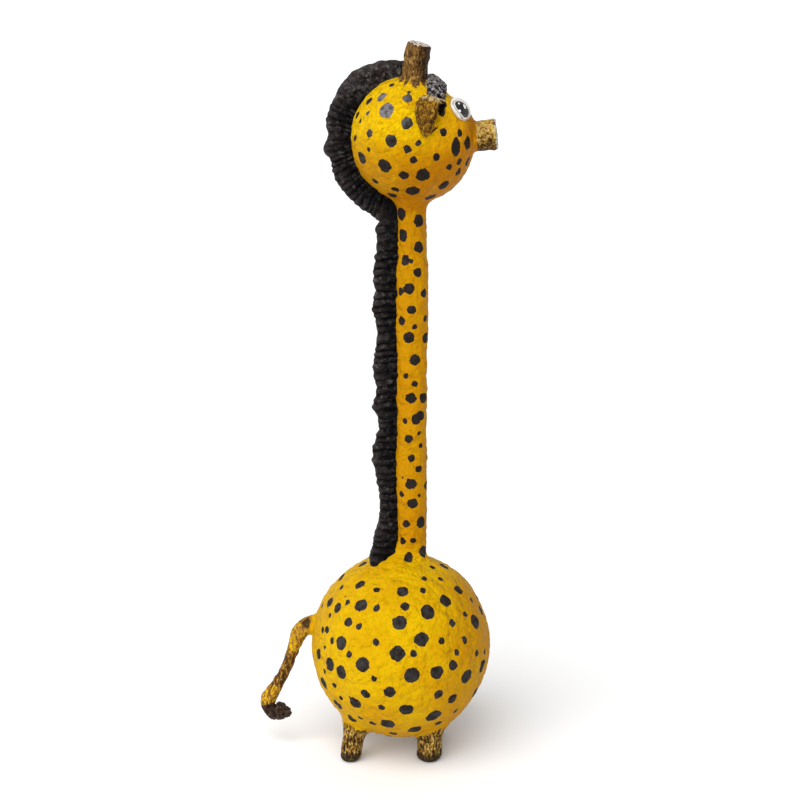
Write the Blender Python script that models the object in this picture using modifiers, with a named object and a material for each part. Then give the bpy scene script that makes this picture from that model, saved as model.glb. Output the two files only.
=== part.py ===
# Giraffe statue in painted papier-mache: a ball body on four stub legs, a tube neck, a ball
# head with a rolled snout and two tube horns, and a crimped paper mane down the back.
# Metres, +Z up. The giraffe faces +X and is the same on both sides of the plane y = 0.
# The origin is on the ground, under the middle of the statue's length and width.

import math

import bmesh
import bpy
import numpy as np
from mathutils import Matrix, Vector

# Clearance kept between pieces that touch
GAP = 0.0003

# Ball body: its centre, half its length and width, and half its height
BODY_X = 0.0390
BODY_Z = 0.1633
BODY_HALF_WIDTH = 0.1316
BODY_HALF_HEIGHT = 0.1359
BODY_SIDES = 34

# Ball head
HEAD_X = 0.0558
HEAD_Z = 0.8954
HEAD_RADIUS = 0.0863
HEAD_SIDES = 30

# Tube neck: radius by height, flaring into the head above and into the body below
NECK_X = 0.0540
NECK_SIDES = 22
NECK_PROFILE = [
    (0.0290, 0.8310),
    (0.0372, 0.8195),
    (0.0320, 0.8147),
    (0.0271, 0.8112),
    (0.0233, 0.8074),
    (0.0213, 0.8021),
    (0.0205, 0.7905),
    (0.0207, 0.7440),
    (0.0225, 0.7135),
    (0.0227, 0.6305),
    (0.0216, 0.5950),
    (0.0212, 0.5245),
    (0.0220, 0.4990),
    (0.0222, 0.3855),
    (0.0213, 0.3485),
    (0.0218, 0.2420),
]
# The lower flare stands on the ball's top and leans with the ball's slope there
COLLAR_LEAN = math.radians(6.0)
COLLAR_X = 0.0521
COLLAR_Z = 0.2982
COLLAR_PROFILE = [
    (0.0210, 0.0310),
    (0.0219, 0.0145),
    (0.0236, 0.0068),
    (0.0275, 0.0013),
    (0.0337, -0.0030),
    (0.0408, -0.0077),
    (0.0300, -0.0200),
]

# Rolled snout, along +X with a slight rise: radius by distance from its root
SNOUT_X = 0.1357
SNOUT_Z = 0.8985
SNOUT_LENGTH = 0.0342
SNOUT_RISE = math.radians(6.0)
SNOUT_SIDES = 24
SNOUT_PROFILE = [
    (0.0189, SNOUT_LENGTH),
    (0.0203, SNOUT_LENGTH - 0.0013),
    (0.0207, 0.0270),
    (0.0210, 0.0145),
    (0.0223, 0.0063),
    (0.0252, 0.0034),
    (0.0289, 0.0014),
    (0.0230, -0.0200),
]

# Brow crease: an oval groove across the forehead, between the fringe and the eyes
BROW_X = 0.1173
BROW_Z = 0.9616
BROW_HALF_LENGTH = 0.0166
BROW_HALF_HEIGHT = 0.0107
BROW_LEAN = math.radians(14.0)

# Tube horn, from inside the head to its cut end: x, y, z and radius on the +y side
HORN_SIDES_RESOLUTION = 2
HORN_ROUTE = [
    (0.0574, 0.0215, 0.9655, 0.0177),
    (0.0582, 0.0248, 0.9813, 0.0161),
    (0.0595, 0.0278, 0.9962, 0.0161),
    (0.0619, 0.0307, 1.0092, 0.0165),
    (0.0649, 0.0331, 1.0217, 0.0152),
]

# Stub legs: radius by height above the sole, place of the sole, and lean of the leg along X
LEG_SIDES = 16
FRONT_LEG_Y = 0.0415
FRONT_LEG_X = 0.0820
FRONT_LEG_LEAN = 0.06
FRONT_LEG_PROFILE = [
    (0.0209, 0.0720),
    (0.0235, 0.0565),
    (0.0195, 0.0450),
    (0.0176, 0.0338),
    (0.0174, 0.0236),
    (0.0183, 0.0157),
    (0.0178, 0.0084),
    (0.0149, 0.0028),
    (0.0105, 0.0),
]
REAR_LEG_Y = 0.0475
REAR_LEG_X = -0.0335
REAR_LEG_LEAN = 0.16
REAR_LEG_PROFILE = [
    (0.0199, 0.0855),
    (0.0225, 0.0700),
    (0.0184, 0.0560),
    (0.0168, 0.0415),
    (0.0159, 0.0280),
    (0.0159, 0.0157),
    (0.0152, 0.0079),
    (0.0128, 0.0025),
    (0.0095, 0.0),
]

# Rope tail, in the plane y = 0, from inside the body to its end: x, z and radius
TAIL_SIDES_RESOLUTION = 2
TAIL_ROUTE = [
    (-0.0703, 0.1928, 0.0155),
    (-0.0900, 0.1908, 0.0141),
    (-0.1036, 0.1855, 0.0125),
    (-0.1123, 0.1747, 0.0102),
    (-0.1175, 0.1615, 0.0089),
    (-0.1243, 0.1416, 0.0080),
    (-0.1312, 0.1228, 0.0079),
    (-0.1405, 0.1043, 0.0088),
    (-0.1514, 0.0860, 0.0100),
    (-0.1584, 0.0733, 0.0110),
    (-0.1597, 0.0624, 0.0108),
    (-0.1563, 0.0547, 0.0095),
]

# Crumpled tuft at the tail's end, lumps in the plane y = 0: x, z and radius
TUFT_LUMPS = [
    (-0.1516, 0.0516, 0.0114),
    (-0.1427, 0.0516, 0.0116),
    (-0.1337, 0.0520, 0.0083),
    (-0.1414, 0.0600, 0.0081),
    (-0.1291, 0.0496, 0.0046),
]
TUFT_SIDES = 10

# Crimped mane. Over the head: angle at the head's centre from +X, and height above the skin.
# Down the neck: height above the ground, and distance that it stands out from the neck.
MANE_ON_HEAD = [
    (77.5, 0.0030),
    (90.0, 0.0130),
    (102.5, 0.0220),
    (120.0, 0.0300),
    (136.0, 0.0366),
    (152.0, 0.0356),
    (168.0, 0.0365),
    (177.0, 0.0317),
    (187.5, 0.0386),
    (194.5, 0.0323),
    (205.5, 0.0351),
    (215.5, 0.0349),
    (227.5, 0.0339),
    (245.5, 0.0357),
]
MANE_NECK_BACK_X = 0.0325
MANE_NOTCH = (0.0068, 0.7800)
MANE_NOTCH_ROOT_Z = 0.7925
MANE_ON_NECK = [
    (0.7730, 0.0293),
    (0.7537, 0.0273),
    (0.7270, 0.0309),
    (0.7004, 0.0330),
    (0.6835, 0.0302),
    (0.6609, 0.0346),
    (0.6267, 0.0276),
    (0.5780, 0.0334),
    (0.5462, 0.0292),
    (0.5170, 0.0336),
    (0.4938, 0.0251),
    (0.4525, 0.0353),
    (0.4170, 0.0296),
    (0.3692, 0.0240),
    (0.3209, 0.0343),
    (0.2996, 0.0390),
    (0.2799, 0.0410),
]
# The roots of the mane reach this far under the skin before they are trimmed to it
MANE_ROOT_DEPTH = 0.0040
MANE_RIB_PITCH = 0.0138
MANE_RIB_DEPTH = 0.0011
# Half thickness of the mane: at its front end, over most of its length, and at its foot
MANE_FRONT_HALF = 0.0040
MANE_HALF = 0.0080
MANE_FOOT_HALF = 0.0400
MANE_FRONT_TAPER = 0.0550
MANE_FOOT_TAPER = 0.0360
# Where the neck spreads into the body the mane's root moves back: how far, and between which heights
MANE_ROOT_RETREAT = 0.0150
MANE_RETREAT_TOP_Z = 0.3300
MANE_RETREAT_FOOT_Z = 0.2850
# Section of the mane: share of its height, and share of its half thickness
MANE_SECTION = [(0.0, 1.0), (0.5, 0.95), (0.86, 0.80), (1.0, 0.36)]

# Fringe: a pad over the forehead from ear to ear, thick behind and thin in front
FRINGE_BACK_X = 0.0768
FRINGE_FRONT_X = 0.1005
FRINGE_LOW_Z = 0.9538
FRINGE_RISE = 0.0097
FRINGE_SHIFT = 0.0155
FRINGE_SIDES = 28

# Folded ear: a flattened pod that hangs tip down, scooped out on its front side
EAR_TIP = (0.0738, 0.0850, 0.8989)
EAR_LEAN = math.radians(15.0)
EAR_FLATNESS = 0.90
EAR_SIDES = 16
EAR_PROFILE = [
    (0.0126, 0.0530),
    (0.0205, 0.0482),
    (0.0236, 0.0402),
    (0.0217, 0.0284),
    (0.0152, 0.0161),
    (0.0080, 0.0066),
    (0.0031, 0.0013),
]
EAR_SCOOP_SIZE = 0.82
EAR_SCOOP_MOVE = (0.0115, 0.0015, 0.0040)

# Domed eye, set on the head: middle on the skin, way it looks, radius and bulge
EYE_MIDDLE = (0.1204, 0.0411, 0.9338)
EYE_LOOK = (0.700, 0.470, 0.540)
EYE_RADIUS = 0.0188
EYE_BULGE = 0.0102
EYE_SIDES = 16


def clear_scene():
    """Remove every object, so that the statue is made in an empty scene."""
    for thing in list(bpy.data.objects):
        bpy.data.objects.remove(thing)


def make_collection(name):
    """Make a collection under the scene's own."""
    collection = bpy.data.collections.new(name)
    bpy.context.scene.collection.children.link(collection)
    return collection


def make_material(name, colour, roughness):
    """Make a plain painted material from a colour and a roughness."""
    material = bpy.data.materials.new(name)
    material.use_nodes = True
    shader = material.node_tree.nodes["Principled BSDF"]
    shader.inputs["Base Color"].default_value = (*colour, 1.0)
    shader.inputs["Roughness"].default_value = roughness
    shader.inputs["Metallic"].default_value = 0.0
    return material


def make_object(name, mesh, collection, material=None):
    """Put a mesh in the scene as a smooth object."""
    mesh.name = name
    mesh.shade_smooth()
    thing = bpy.data.objects.new(name, mesh)
    collection.objects.link(thing)
    if material:
        mesh.materials.append(material)
    return thing


def mesh_of(shape, name):
    """Turn a bmesh into a mesh whose faces point outwards."""
    bmesh.ops.recalc_face_normals(shape, faces=shape.faces)
    mesh = bpy.data.meshes.new(name)
    shape.to_mesh(mesh)
    shape.free()
    return mesh


def settled_mesh(thing, name, place):
    """Read an object as its modifiers or bevel leave it, weld it, move it, and remove the object."""
    evaluated = thing.evaluated_get(bpy.context.evaluated_depsgraph_get())
    mesh = bpy.data.meshes.new_from_object(evaluated)
    bpy.data.objects.remove(thing)
    shape = bmesh.new()
    shape.from_mesh(mesh)
    bpy.data.meshes.remove(mesh)
    bmesh.ops.remove_doubles(shape, verts=shape.verts, dist=0.00001)
    bmesh.ops.transform(shape, matrix=place, verts=shape.verts)
    return mesh_of(shape, name)


def ball_mesh(name, centre, halves, sides, turn=None):
    """Make an oval ball from a sphere: its centre, its three half sizes, and a turn about its centre."""
    shape = bmesh.new()
    bmesh.ops.create_uvsphere(shape, u_segments=sides, v_segments=sides // 2, radius=1.0)
    place = Matrix.Translation(centre) @ (turn or Matrix()) @ Matrix.Diagonal((*halves, 1.0))
    bmesh.ops.transform(shape, matrix=place, verts=shape.verts)
    return mesh_of(shape, name)


def turned_mesh(name, profile, sides, place, grow=0.0):
    """Turn a profile, listed from top to bottom as radius and height, and close both its ends."""
    outline = [(0.0, profile[0][1]), *((radius + grow, height) for radius, height in profile)]
    outline.append((0.0, profile[-1][1]))
    mesh = bpy.data.meshes.new(name)
    links = [(index, index + 1) for index in range(len(outline) - 1)]
    mesh.from_pydata([(radius, 0.0, height) for radius, height in outline], links, [])
    lathe = bpy.data.objects.new(name, mesh)
    bpy.context.scene.collection.objects.link(lathe)
    screw = lathe.modifiers.new("turn", "SCREW")
    screw.axis = "Z"
    screw.steps = sides
    screw.render_steps = sides
    screw.use_merge_vertices = True
    screw.merge_threshold = 0.00001
    return settled_mesh(lathe, name, place)


def smooth_route(points, per_span):
    """Run a Catmull-Rom curve through the points, with a number of steps in each span."""
    knots = np.array(points, float)
    ends = np.vstack([2 * knots[0] - knots[1], knots, 2 * knots[-1] - knots[-2]])
    share = np.arange(per_span)[:, None] / per_span
    spans = []
    for before, start, stop, after in zip(ends, ends[1:], ends[2:], ends[3:]):
        bend = 2 * before - 5 * start + 4 * stop - after
        twist = 3 * start - before - 3 * stop + after
        spans.append(start + 0.5 * ((stop - before) * share + bend * share**2 + twist * share**3))
    return np.vstack([*spans, knots[-1:]])


def tube_mesh(name, route, resolution, grow=0.0):
    """Run a round tube with closed ends along points given as x, y, z and radius."""
    curve = bpy.data.curves.new(name, "CURVE")
    curve.dimensions = "3D"
    curve.bevel_depth = 1.0
    curve.bevel_resolution = resolution
    curve.use_fill_caps = True
    spline = curve.splines.new("POLY")
    spline.points.add(len(route) - 1)
    for point, (x, y, z, radius) in zip(spline.points, route):
        point.co = (x, y, z, 1.0)
        point.radius = radius + grow
    rope = bpy.data.objects.new(name, curve)
    bpy.context.scene.collection.objects.link(rope)
    return settled_mesh(rope, name, rope.matrix_world.copy())


def cutter(name, mesh, cutters):
    """Keep a mesh as a shape that joins or cuts others and isn't itself a part."""
    tool = make_object(name, mesh, cutters)
    tool.hide_render = True
    tool.display_type = "WIRE"
    return tool


def combine(thing, operation, tool):
    """Join, cut or trim an object with one other object or with a whole collection."""
    change = thing.modifiers.new(tool.name, "BOOLEAN")
    change.operation = operation
    change.solver = "EXACT"
    if isinstance(tool, bpy.types.Collection):
        change.operand_type = "COLLECTION"
        change.collection = tool
    else:
        change.object = tool


def upright(x, y, z):
    """Place a shape that stands on its own origin."""
    return Matrix.Translation((x, y, z))


def body_ball(name, grow=0.0):
    """The ball body, or the same ball with a clearance."""
    wide = BODY_HALF_WIDTH + grow
    return ball_mesh(name, (BODY_X, 0.0, BODY_Z), (wide, wide, BODY_HALF_HEIGHT + grow), BODY_SIDES)


def head_ball(name, grow=0.0):
    """The ball head, or the same ball with a clearance."""
    radius = HEAD_RADIUS + grow
    return ball_mesh(name, (HEAD_X, 0.0, HEAD_Z), (radius, radius, radius), HEAD_SIDES)


def neck_tube(name, grow=0.0):
    """The neck with the flare under the head, or the same with a clearance."""
    return turned_mesh(name, NECK_PROFILE, NECK_SIDES, upright(NECK_X, 0.0, 0.0), grow)


def neck_collar(name, grow=0.0):
    """The flare at the neck's foot, square to the ball's slope, or the same with a clearance."""
    place = upright(COLLAR_X, 0.0, COLLAR_Z) @ Matrix.Rotation(COLLAR_LEAN, 4, "Y")
    return turned_mesh(name, COLLAR_PROFILE, NECK_SIDES, place, grow)


def snout_roll(name):
    """The rolled snout, which points forwards and a little up."""
    place = upright(SNOUT_X, 0.0, SNOUT_Z) @ Matrix.Rotation(math.pi / 2 - SNOUT_RISE, 4, "Y")
    return turned_mesh(name, SNOUT_PROFILE, SNOUT_SIDES, place)


def horn_tube(name, side):
    """One horn, bent forwards and splayed to its own side."""
    route = smooth_route(HORN_ROUTE, 2)
    route[:, 1] *= side
    return tube_mesh(name, route, HORN_SIDES_RESOLUTION)


def leg_stub(name, profile, x, y, lean):
    """One stub leg on a flat sole, slanted along X without tipping the sole."""
    slant = Matrix.Identity(4)
    slant[0][2] = lean
    return turned_mesh(name, profile, LEG_SIDES, upright(x, y, 0.0) @ slant)


def tail_rope(name, grow=0.0):
    """The tail, or the same rope with a clearance."""
    flat = smooth_route(TAIL_ROUTE, 2)
    route = np.insert(flat, 1, 0.0, axis=1)
    return tube_mesh(name, route, TAIL_SIDES_RESOLUTION, grow)


def brow_groove(name):
    """A long oval bar across the forehead, which cuts the crease over the eyes."""
    shape = bmesh.new()
    bmesh.ops.create_cone(
        shape, cap_ends=True, segments=24, radius1=1.0, radius2=1.0, depth=2.0 * HEAD_RADIUS
    )
    across = Matrix.Rotation(math.pi / 2, 4, "X")
    oval = Matrix.Diagonal((BROW_HALF_LENGTH, 1.0, BROW_HALF_HEIGHT, 1.0))
    place = upright(BROW_X, 0.0, BROW_Z) @ Matrix.Rotation(BROW_LEAN, 4, "Y") @ oval @ across
    bmesh.ops.transform(shape, matrix=place, verts=shape.verts)
    return mesh_of(shape, name)


def mane_keys():
    """Root and tip of the mane, as x and z, at the places that shape its outline."""
    keys = []
    for degrees, height in MANE_ON_HEAD:
        way = np.array([math.cos(math.radians(degrees)), math.sin(math.radians(degrees))])
        root = (HEAD_X, HEAD_Z) + way * (HEAD_RADIUS - MANE_ROOT_DEPTH)
        tip = (HEAD_X, HEAD_Z) + way * (HEAD_RADIUS + height)
        keys.append([*root, *tip])
    root_x = MANE_NECK_BACK_X + MANE_ROOT_DEPTH
    keys.append([root_x, MANE_NOTCH_ROOT_Z, *MANE_NOTCH])
    for z, height in MANE_ON_NECK:
        share = (MANE_RETREAT_TOP_Z - z) / (MANE_RETREAT_TOP_Z - MANE_RETREAT_FOOT_Z)
        retreat = MANE_ROOT_RETREAT * min(1.0, max(0.0, share))
        keys.append([root_x - retreat, z, MANE_NECK_BACK_X - height, z])
    return keys


def mane_stations():
    """Root, tip and place along the tips, at each rib's crest and each valley between ribs."""
    fine = smooth_route(mane_keys(), 12)
    along = np.insert(np.cumsum(np.hypot(*np.diff(fine[:, 2:], axis=0).T)), 0, 0.0)
    count = 2 * round(along[-1] / MANE_RIB_PITCH) + 1
    places = np.linspace(0.0, along[-1], count)
    columns = [np.interp(places, along, fine[:, column]) for column in range(4)]
    return np.column_stack(columns), places


def mane_half_thickness(place, length):
    """Half the mane's thickness at a place along it, thin in front and spread at the foot."""
    front = min(1.0, place / MANE_FRONT_TAPER)
    foot = max(0.0, 1.0 - (length - place) / MANE_FOOT_TAPER)
    plain = MANE_FRONT_HALF + (MANE_HALF - MANE_FRONT_HALF) * front
    return plain + (MANE_FOOT_HALF - MANE_HALF) * foot


def mane_strip(name):
    """Loft the ribbed mane: one closed section at each rib's crest and valley."""
    stations, places = mane_stations()
    shape = bmesh.new()
    rings = []
    for index, (station, place) in enumerate(zip(stations, places)):
        root, tip = Vector(station[:2]), Vector(station[2:])
        valley = MANE_RIB_DEPTH * (index % 2)
        tip -= (tip - root).normalized() * valley
        half = mane_half_thickness(place, places[-1]) - valley
        near = [(root.lerp(tip, share), -half * width) for share, width in MANE_SECTION]
        far = [(spot, -offset) for spot, offset in reversed(near)]
        rings.append([shape.verts.new((spot.x, offset, spot.y)) for spot, offset in near + far])
    for ring, after in zip(rings, rings[1:]):
        for corner in range(len(ring)):
            following = (corner + 1) % len(ring)
            shape.faces.new((ring[corner], ring[following], after[following], after[corner]))
    shape.faces.new(rings[0])
    shape.faces.new(rings[-1])
    bmesh.ops.triangulate(shape, faces=shape.faces)
    return mesh_of(shape, name)


def ear_pod(name, side, size=1.0, move=(0.0, 0.0, 0.0)):
    """The pod that an ear is cut from, or at a smaller size the scoop that hollows it."""
    x, y, z = (start + shift for start, shift in zip(EAR_TIP, move))
    flat = Matrix.Diagonal((size, size * EAR_FLATNESS, size, 1.0))
    place = upright(x, side * y, z) @ Matrix.Rotation(EAR_LEAN, 4, "Y") @ flat
    return turned_mesh(name, EAR_PROFILE, EAR_SIDES, place)


def eye_dome(name, side):
    """A flattened ball that looks forwards, up and to its own side."""
    look = Vector((EYE_LOOK[0], side * EYE_LOOK[1], EYE_LOOK[2]))
    middle = (EYE_MIDDLE[0], side * EYE_MIDDLE[1], EYE_MIDDLE[2])
    turn = look.to_track_quat("Z", "Y").to_matrix().to_4x4()
    return ball_mesh(name, middle, (EYE_RADIUS, EYE_RADIUS, EYE_BULGE), EYE_SIDES, turn)


def build_body(parts, cutters, joined, skin):
    """The whole papier-mache skin: body, neck, head, snout, horns, legs and tail as one piece."""
    body = make_object("giraffe_body", body_ball("giraffe_body"), parts, skin)
    cutter("neck_shape", neck_tube("neck_shape"), joined)
    cutter("collar_shape", neck_collar("collar_shape"), joined)
    cutter("head_shape", head_ball("head_shape"), joined)
    cutter("snout_shape", snout_roll("snout_shape"), joined)
    cutter("tail_shape", tail_rope("tail_shape"), joined)
    for side, word in ((-1, "right"), (1, "left")):
        cutter(f"{word}_horn_shape", horn_tube(f"{word}_horn_shape", side), joined)
        for end, profile, x, y, lean in (
            ("front", FRONT_LEG_PROFILE, FRONT_LEG_X, FRONT_LEG_Y, FRONT_LEG_LEAN),
            ("rear", REAR_LEG_PROFILE, REAR_LEG_X, REAR_LEG_Y, REAR_LEG_LEAN),
        ):
            leg = f"{word}_{end}_leg"
            cutter(leg, leg_stub(leg, profile, x, side * y, lean), joined)
    combine(body, "UNION", joined)
    combine(body, "DIFFERENCE", cutter("brow_groove", brow_groove("brow_groove"), cutters))


def build_mane(parts, cutters, black):
    """The mane, trimmed to sit on the head, the neck and the body."""
    mane = make_object("mane", mane_strip("mane"), parts, black)
    for name, make in (
        ("head_clearance", head_ball),
        ("neck_clearance", neck_tube),
        ("collar_clearance", neck_collar),
        ("body_clearance", body_ball),
    ):
        combine(mane, "DIFFERENCE", cutter(name, make(name, GAP), cutters))


def build_fringe(parts, cutters, black):
    """The fringe pad, cut from a shell over the head."""
    radius = HEAD_RADIUS + FRINGE_RISE
    pad = ball_mesh("fringe", (HEAD_X - FRINGE_SHIFT, 0.0, HEAD_Z), (radius,) * 3, FRINGE_SIDES)
    fringe = make_object("fringe", pad, parts, black)
    high = HEAD_Z + 1.5 * HEAD_RADIUS
    shape = bmesh.new()
    bmesh.ops.create_cube(shape, size=1.0)
    size = (FRINGE_FRONT_X - FRINGE_BACK_X, 3.0 * HEAD_RADIUS, high - FRINGE_LOW_Z)
    middle = ((FRINGE_FRONT_X + FRINGE_BACK_X) / 2, 0.0, (high + FRINGE_LOW_Z) / 2)
    place = Matrix.Translation(middle) @ Matrix.Diagonal((*size, 1.0))
    bmesh.ops.transform(shape, matrix=place, verts=shape.verts)
    combine(fringe, "INTERSECT", cutter("fringe_limits", mesh_of(shape, "fringe_limits"), cutters))
    combine(fringe, "DIFFERENCE", cutters.objects["head_clearance"])


def build_ears(parts, cutters, brown):
    """Two hanging ears, hollow towards the front and trimmed to the head."""
    for side, word in ((-1, "right"), (1, "left")):
        ear = make_object(f"{word}_ear", ear_pod(f"{word}_ear", side), parts, brown)
        scoop = ear_pod(f"{word}_ear_scoop", side, EAR_SCOOP_SIZE, EAR_SCOOP_MOVE)
        combine(ear, "DIFFERENCE", cutter(f"{word}_ear_scoop", scoop, cutters))
        combine(ear, "DIFFERENCE", cutters.objects["head_clearance"])


def build_eyes(parts, cutters, white):
    """Two domed eyes, trimmed to the head."""
    for side, word in ((-1, "right"), (1, "left")):
        eye = make_object(f"{word}_eye", eye_dome(f"{word}_eye", side), parts, white)
        combine(eye, "DIFFERENCE", cutters.objects["head_clearance"])


def build_tuft(parts, cutters, black):
    """The crumpled tuft, its lumps joined and fitted round the tail's end."""
    tuft = None
    for number, (x, z, radius) in enumerate(TUFT_LUMPS):
        lump = ball_mesh(f"tuft_lump_{number}", (x, 0.0, z), (radius,) * 3, TUFT_SIDES)
        if tuft is None:
            tuft = make_object("tail_tuft", lump, parts, black)
        else:
            combine(tuft, "UNION", cutter(f"tuft_lump_{number}", lump, cutters))
    rope = tail_rope("tail_clearance", GAP)
    combine(tuft, "DIFFERENCE", cutter("tail_clearance", rope, cutters))


def main():
    """Build the statue: each piece in its own named object."""
    clear_scene()
    parts = make_collection("giraffe_statue")
    cutters = make_collection("cutters")
    joined = make_collection("joined_shapes")
    skin = make_material("painted_skin", (0.86, 0.52, 0.02), 0.45)
    black = make_material("painted_mane", (0.02, 0.017, 0.016), 0.6)
    brown = make_material("painted_ears", (0.20, 0.10, 0.03), 0.6)
    white = make_material("painted_eyes", (0.85, 0.82, 0.76), 0.2)
    build_body(parts, cutters, joined, skin)
    build_mane(parts, cutters, black)
    build_fringe(parts, cutters, black)
    build_ears(parts, cutters, brown)
    build_eyes(parts, cutters, white)
    build_tuft(parts, cutters, black)


main()
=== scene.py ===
"""Painted papier-mache giraffe statue: its fine form and its paint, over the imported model.

Metres, +Z up. The giraffe faces +X and its left side is +Y. The photograph looks at its right side.
"""

import logging
import math
from abc import ABC, abstractmethod
from dataclasses import dataclass, field
from enum import Enum
from typing import Callable, NamedTuple, Sequence

import bmesh
import bpy
import numpy as np
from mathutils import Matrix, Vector


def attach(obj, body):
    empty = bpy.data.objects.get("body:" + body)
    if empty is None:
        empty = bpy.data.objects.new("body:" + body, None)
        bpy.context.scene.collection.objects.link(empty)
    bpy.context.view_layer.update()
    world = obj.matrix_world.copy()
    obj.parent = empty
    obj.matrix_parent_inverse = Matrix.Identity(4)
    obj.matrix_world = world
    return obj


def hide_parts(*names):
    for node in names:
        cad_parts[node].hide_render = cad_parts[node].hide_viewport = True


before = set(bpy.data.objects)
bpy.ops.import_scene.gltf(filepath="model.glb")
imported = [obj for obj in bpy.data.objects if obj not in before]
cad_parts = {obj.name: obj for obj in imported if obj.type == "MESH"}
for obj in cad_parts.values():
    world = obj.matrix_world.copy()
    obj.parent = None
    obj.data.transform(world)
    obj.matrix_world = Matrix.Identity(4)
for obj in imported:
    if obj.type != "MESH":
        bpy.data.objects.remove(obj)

LOG = logging.getLogger("giraffe_statue")
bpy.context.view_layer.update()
MILLIMETRE = 0.001
FAR_FROM_SPOTS = 0.02

Array = np.ndarray
Point = tuple[float, float, float]
Colour = tuple[float, float, float]
Span = tuple[float, float]
Stops = tuple[tuple[float, Colour], ...]
Profile = tuple[tuple[float, float], ...]
Route = tuple[tuple[float, float, float, float], ...]


class Side(Enum):
    """The two sides of the statue, as the sign of y."""

    RIGHT = -1
    LEFT = 1

    @property
    def word(self) -> str:
        """The side's name, as the model's nodes use it."""
        return self.name.lower()


class Slot(Enum):
    """Material slots of the statue's pieces."""

    SKIN = "skin"
    MANE = "mane"
    EAR = "ear"
    EYE = "eye"
    TUFT = "tuft"


# Sizes of the statue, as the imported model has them
BODY_CENTRE: Point = (0.0390, 0.0, 0.1633)
BODY_HALVES: Point = (0.1305, 0.1305, 0.1353)
HEAD_CENTRE: Point = (0.0558, 0.0, 0.8954)
HEAD_RADIUS = 0.0863
NECK_X = 0.0540
NECK_PROFILE: Profile = (
    (0.0218, 0.2420), (0.0213, 0.3485), (0.0222, 0.3855), (0.0220, 0.4990), (0.0212, 0.5245),
    (0.0216, 0.5950), (0.0227, 0.6305), (0.0225, 0.7135), (0.0207, 0.7440), (0.0207, 0.8700),
)
SNOUT_ROOT: Point = (0.1357, 0.0, 0.8985)
SNOUT_LENGTH = 0.0342
SNOUT_RADIUS = 0.0209
SNOUT_RISE = math.radians(6.0)
BROW_PLACE = (0.1173, 0.9592)
BROW_HALVES = (0.0166, 0.0107)
BROW_LEAN = math.radians(14.0)
HORN_ROUTE: Route = (
    (0.0574, 0.0215, 0.9655, 0.0170), (0.0582, 0.0248, 0.9813, 0.0161), (0.0595, 0.0278, 0.9962, 0.0161),
    (0.0619, 0.0307, 1.0092, 0.0165), (0.0649, 0.0331, 1.0217, 0.0155),
)
FRONT_LEG_PLACE = (0.0820, 0.0415)
FRONT_LEG_SLANT = 0.06
FRONT_LEG_PROFILE: Profile = (
    (0.0105, 0.0), (0.0149, 0.0028), (0.0178, 0.0084), (0.0183, 0.0157), (0.0174, 0.0236),
    (0.0176, 0.0338), (0.0190, 0.0450), (0.0205, 0.0720),
)
REAR_LEG_PLACE = (-0.0335, 0.0475)
REAR_LEG_SLANT = 0.16
REAR_LEG_PROFILE: Profile = (
    (0.0095, 0.0), (0.0128, 0.0025), (0.0152, 0.0079), (0.0159, 0.0157), (0.0159, 0.0280),
    (0.0168, 0.0415), (0.0180, 0.0560), (0.0195, 0.0855),
)
TAIL_ROUTE: Route = (
    (-0.0703, 0.0, 0.1928, 0.0150), (-0.0900, 0.0, 0.1908, 0.0138), (-0.1036, 0.0, 0.1855, 0.0125),
    (-0.1123, 0.0, 0.1747, 0.0102), (-0.1175, 0.0, 0.1615, 0.0089), (-0.1243, 0.0, 0.1416, 0.0080),
    (-0.1312, 0.0, 0.1228, 0.0079), (-0.1405, 0.0, 0.1043, 0.0088), (-0.1514, 0.0, 0.0860, 0.0100),
    (-0.1584, 0.0, 0.0733, 0.0110), (-0.1597, 0.0, 0.0624, 0.0108), (-0.1563, 0.0, 0.0547, 0.0095),
)
EAR_TIP: Point = (0.0738, 0.0850, 0.8989)
EAR_LEAN = math.radians(15.0)
EAR_FLATNESS = 0.90
EAR_PROFILE: Profile = (
    (0.0031, 0.0013), (0.0080, 0.0066), (0.0152, 0.0161), (0.0217, 0.0284), (0.0236, 0.0402),
    (0.0205, 0.0482), (0.0126, 0.0530),
)
EAR_SCOOP_SIZE = 0.82
EAR_SCOOP_MOVE: Point = (0.0115, 0.0015, 0.0040)
EYE_MIDDLE: Point = (0.1204, 0.0411, 0.9338)
EYE_LOOK: Point = (0.700, 0.470, 0.540)
EYE_HALVES: Point = (0.0188, 0.0172, 0.0102)

# Outline of the mane. Over the head: angle at the head's centre from +X, and height above the skin.
# Down the neck: height above the ground, and distance that it stands out from the neck.
MANE_ON_HEAD: Profile = (
    (77.5, 0.0030), (90.0, 0.0130), (102.5, 0.0220), (120.0, 0.0300), (136.0, 0.0366), (152.0, 0.0356),
    (168.0, 0.0365), (177.0, 0.0317), (187.5, 0.0386), (194.5, 0.0323), (205.5, 0.0351), (215.5, 0.0349),
    (227.5, 0.0339), (245.5, 0.0357),
)
MANE_NECK_BACK_X = 0.0325
MANE_NOTCH = (0.0068, 0.7800)
MANE_NOTCH_ROOT_Z = 0.7925
MANE_ON_NECK: Profile = (
    (0.7730, 0.0293), (0.7537, 0.0273), (0.7270, 0.0309), (0.7004, 0.0330), (0.6835, 0.0302),
    (0.6609, 0.0346), (0.6267, 0.0276), (0.5780, 0.0334), (0.5462, 0.0292), (0.5170, 0.0336),
    (0.4938, 0.0251), (0.4525, 0.0353), (0.4170, 0.0296), (0.3692, 0.0240), (0.3209, 0.0343),
    (0.2996, 0.0390), (0.2799, 0.0410),
)


class Spot(NamedTuple):
    """A painted spot, by the photograph's column and row of its middle and its real radius."""

    column: float
    row: float
    radius_mm: float
    tall: float = 1.0


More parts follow.
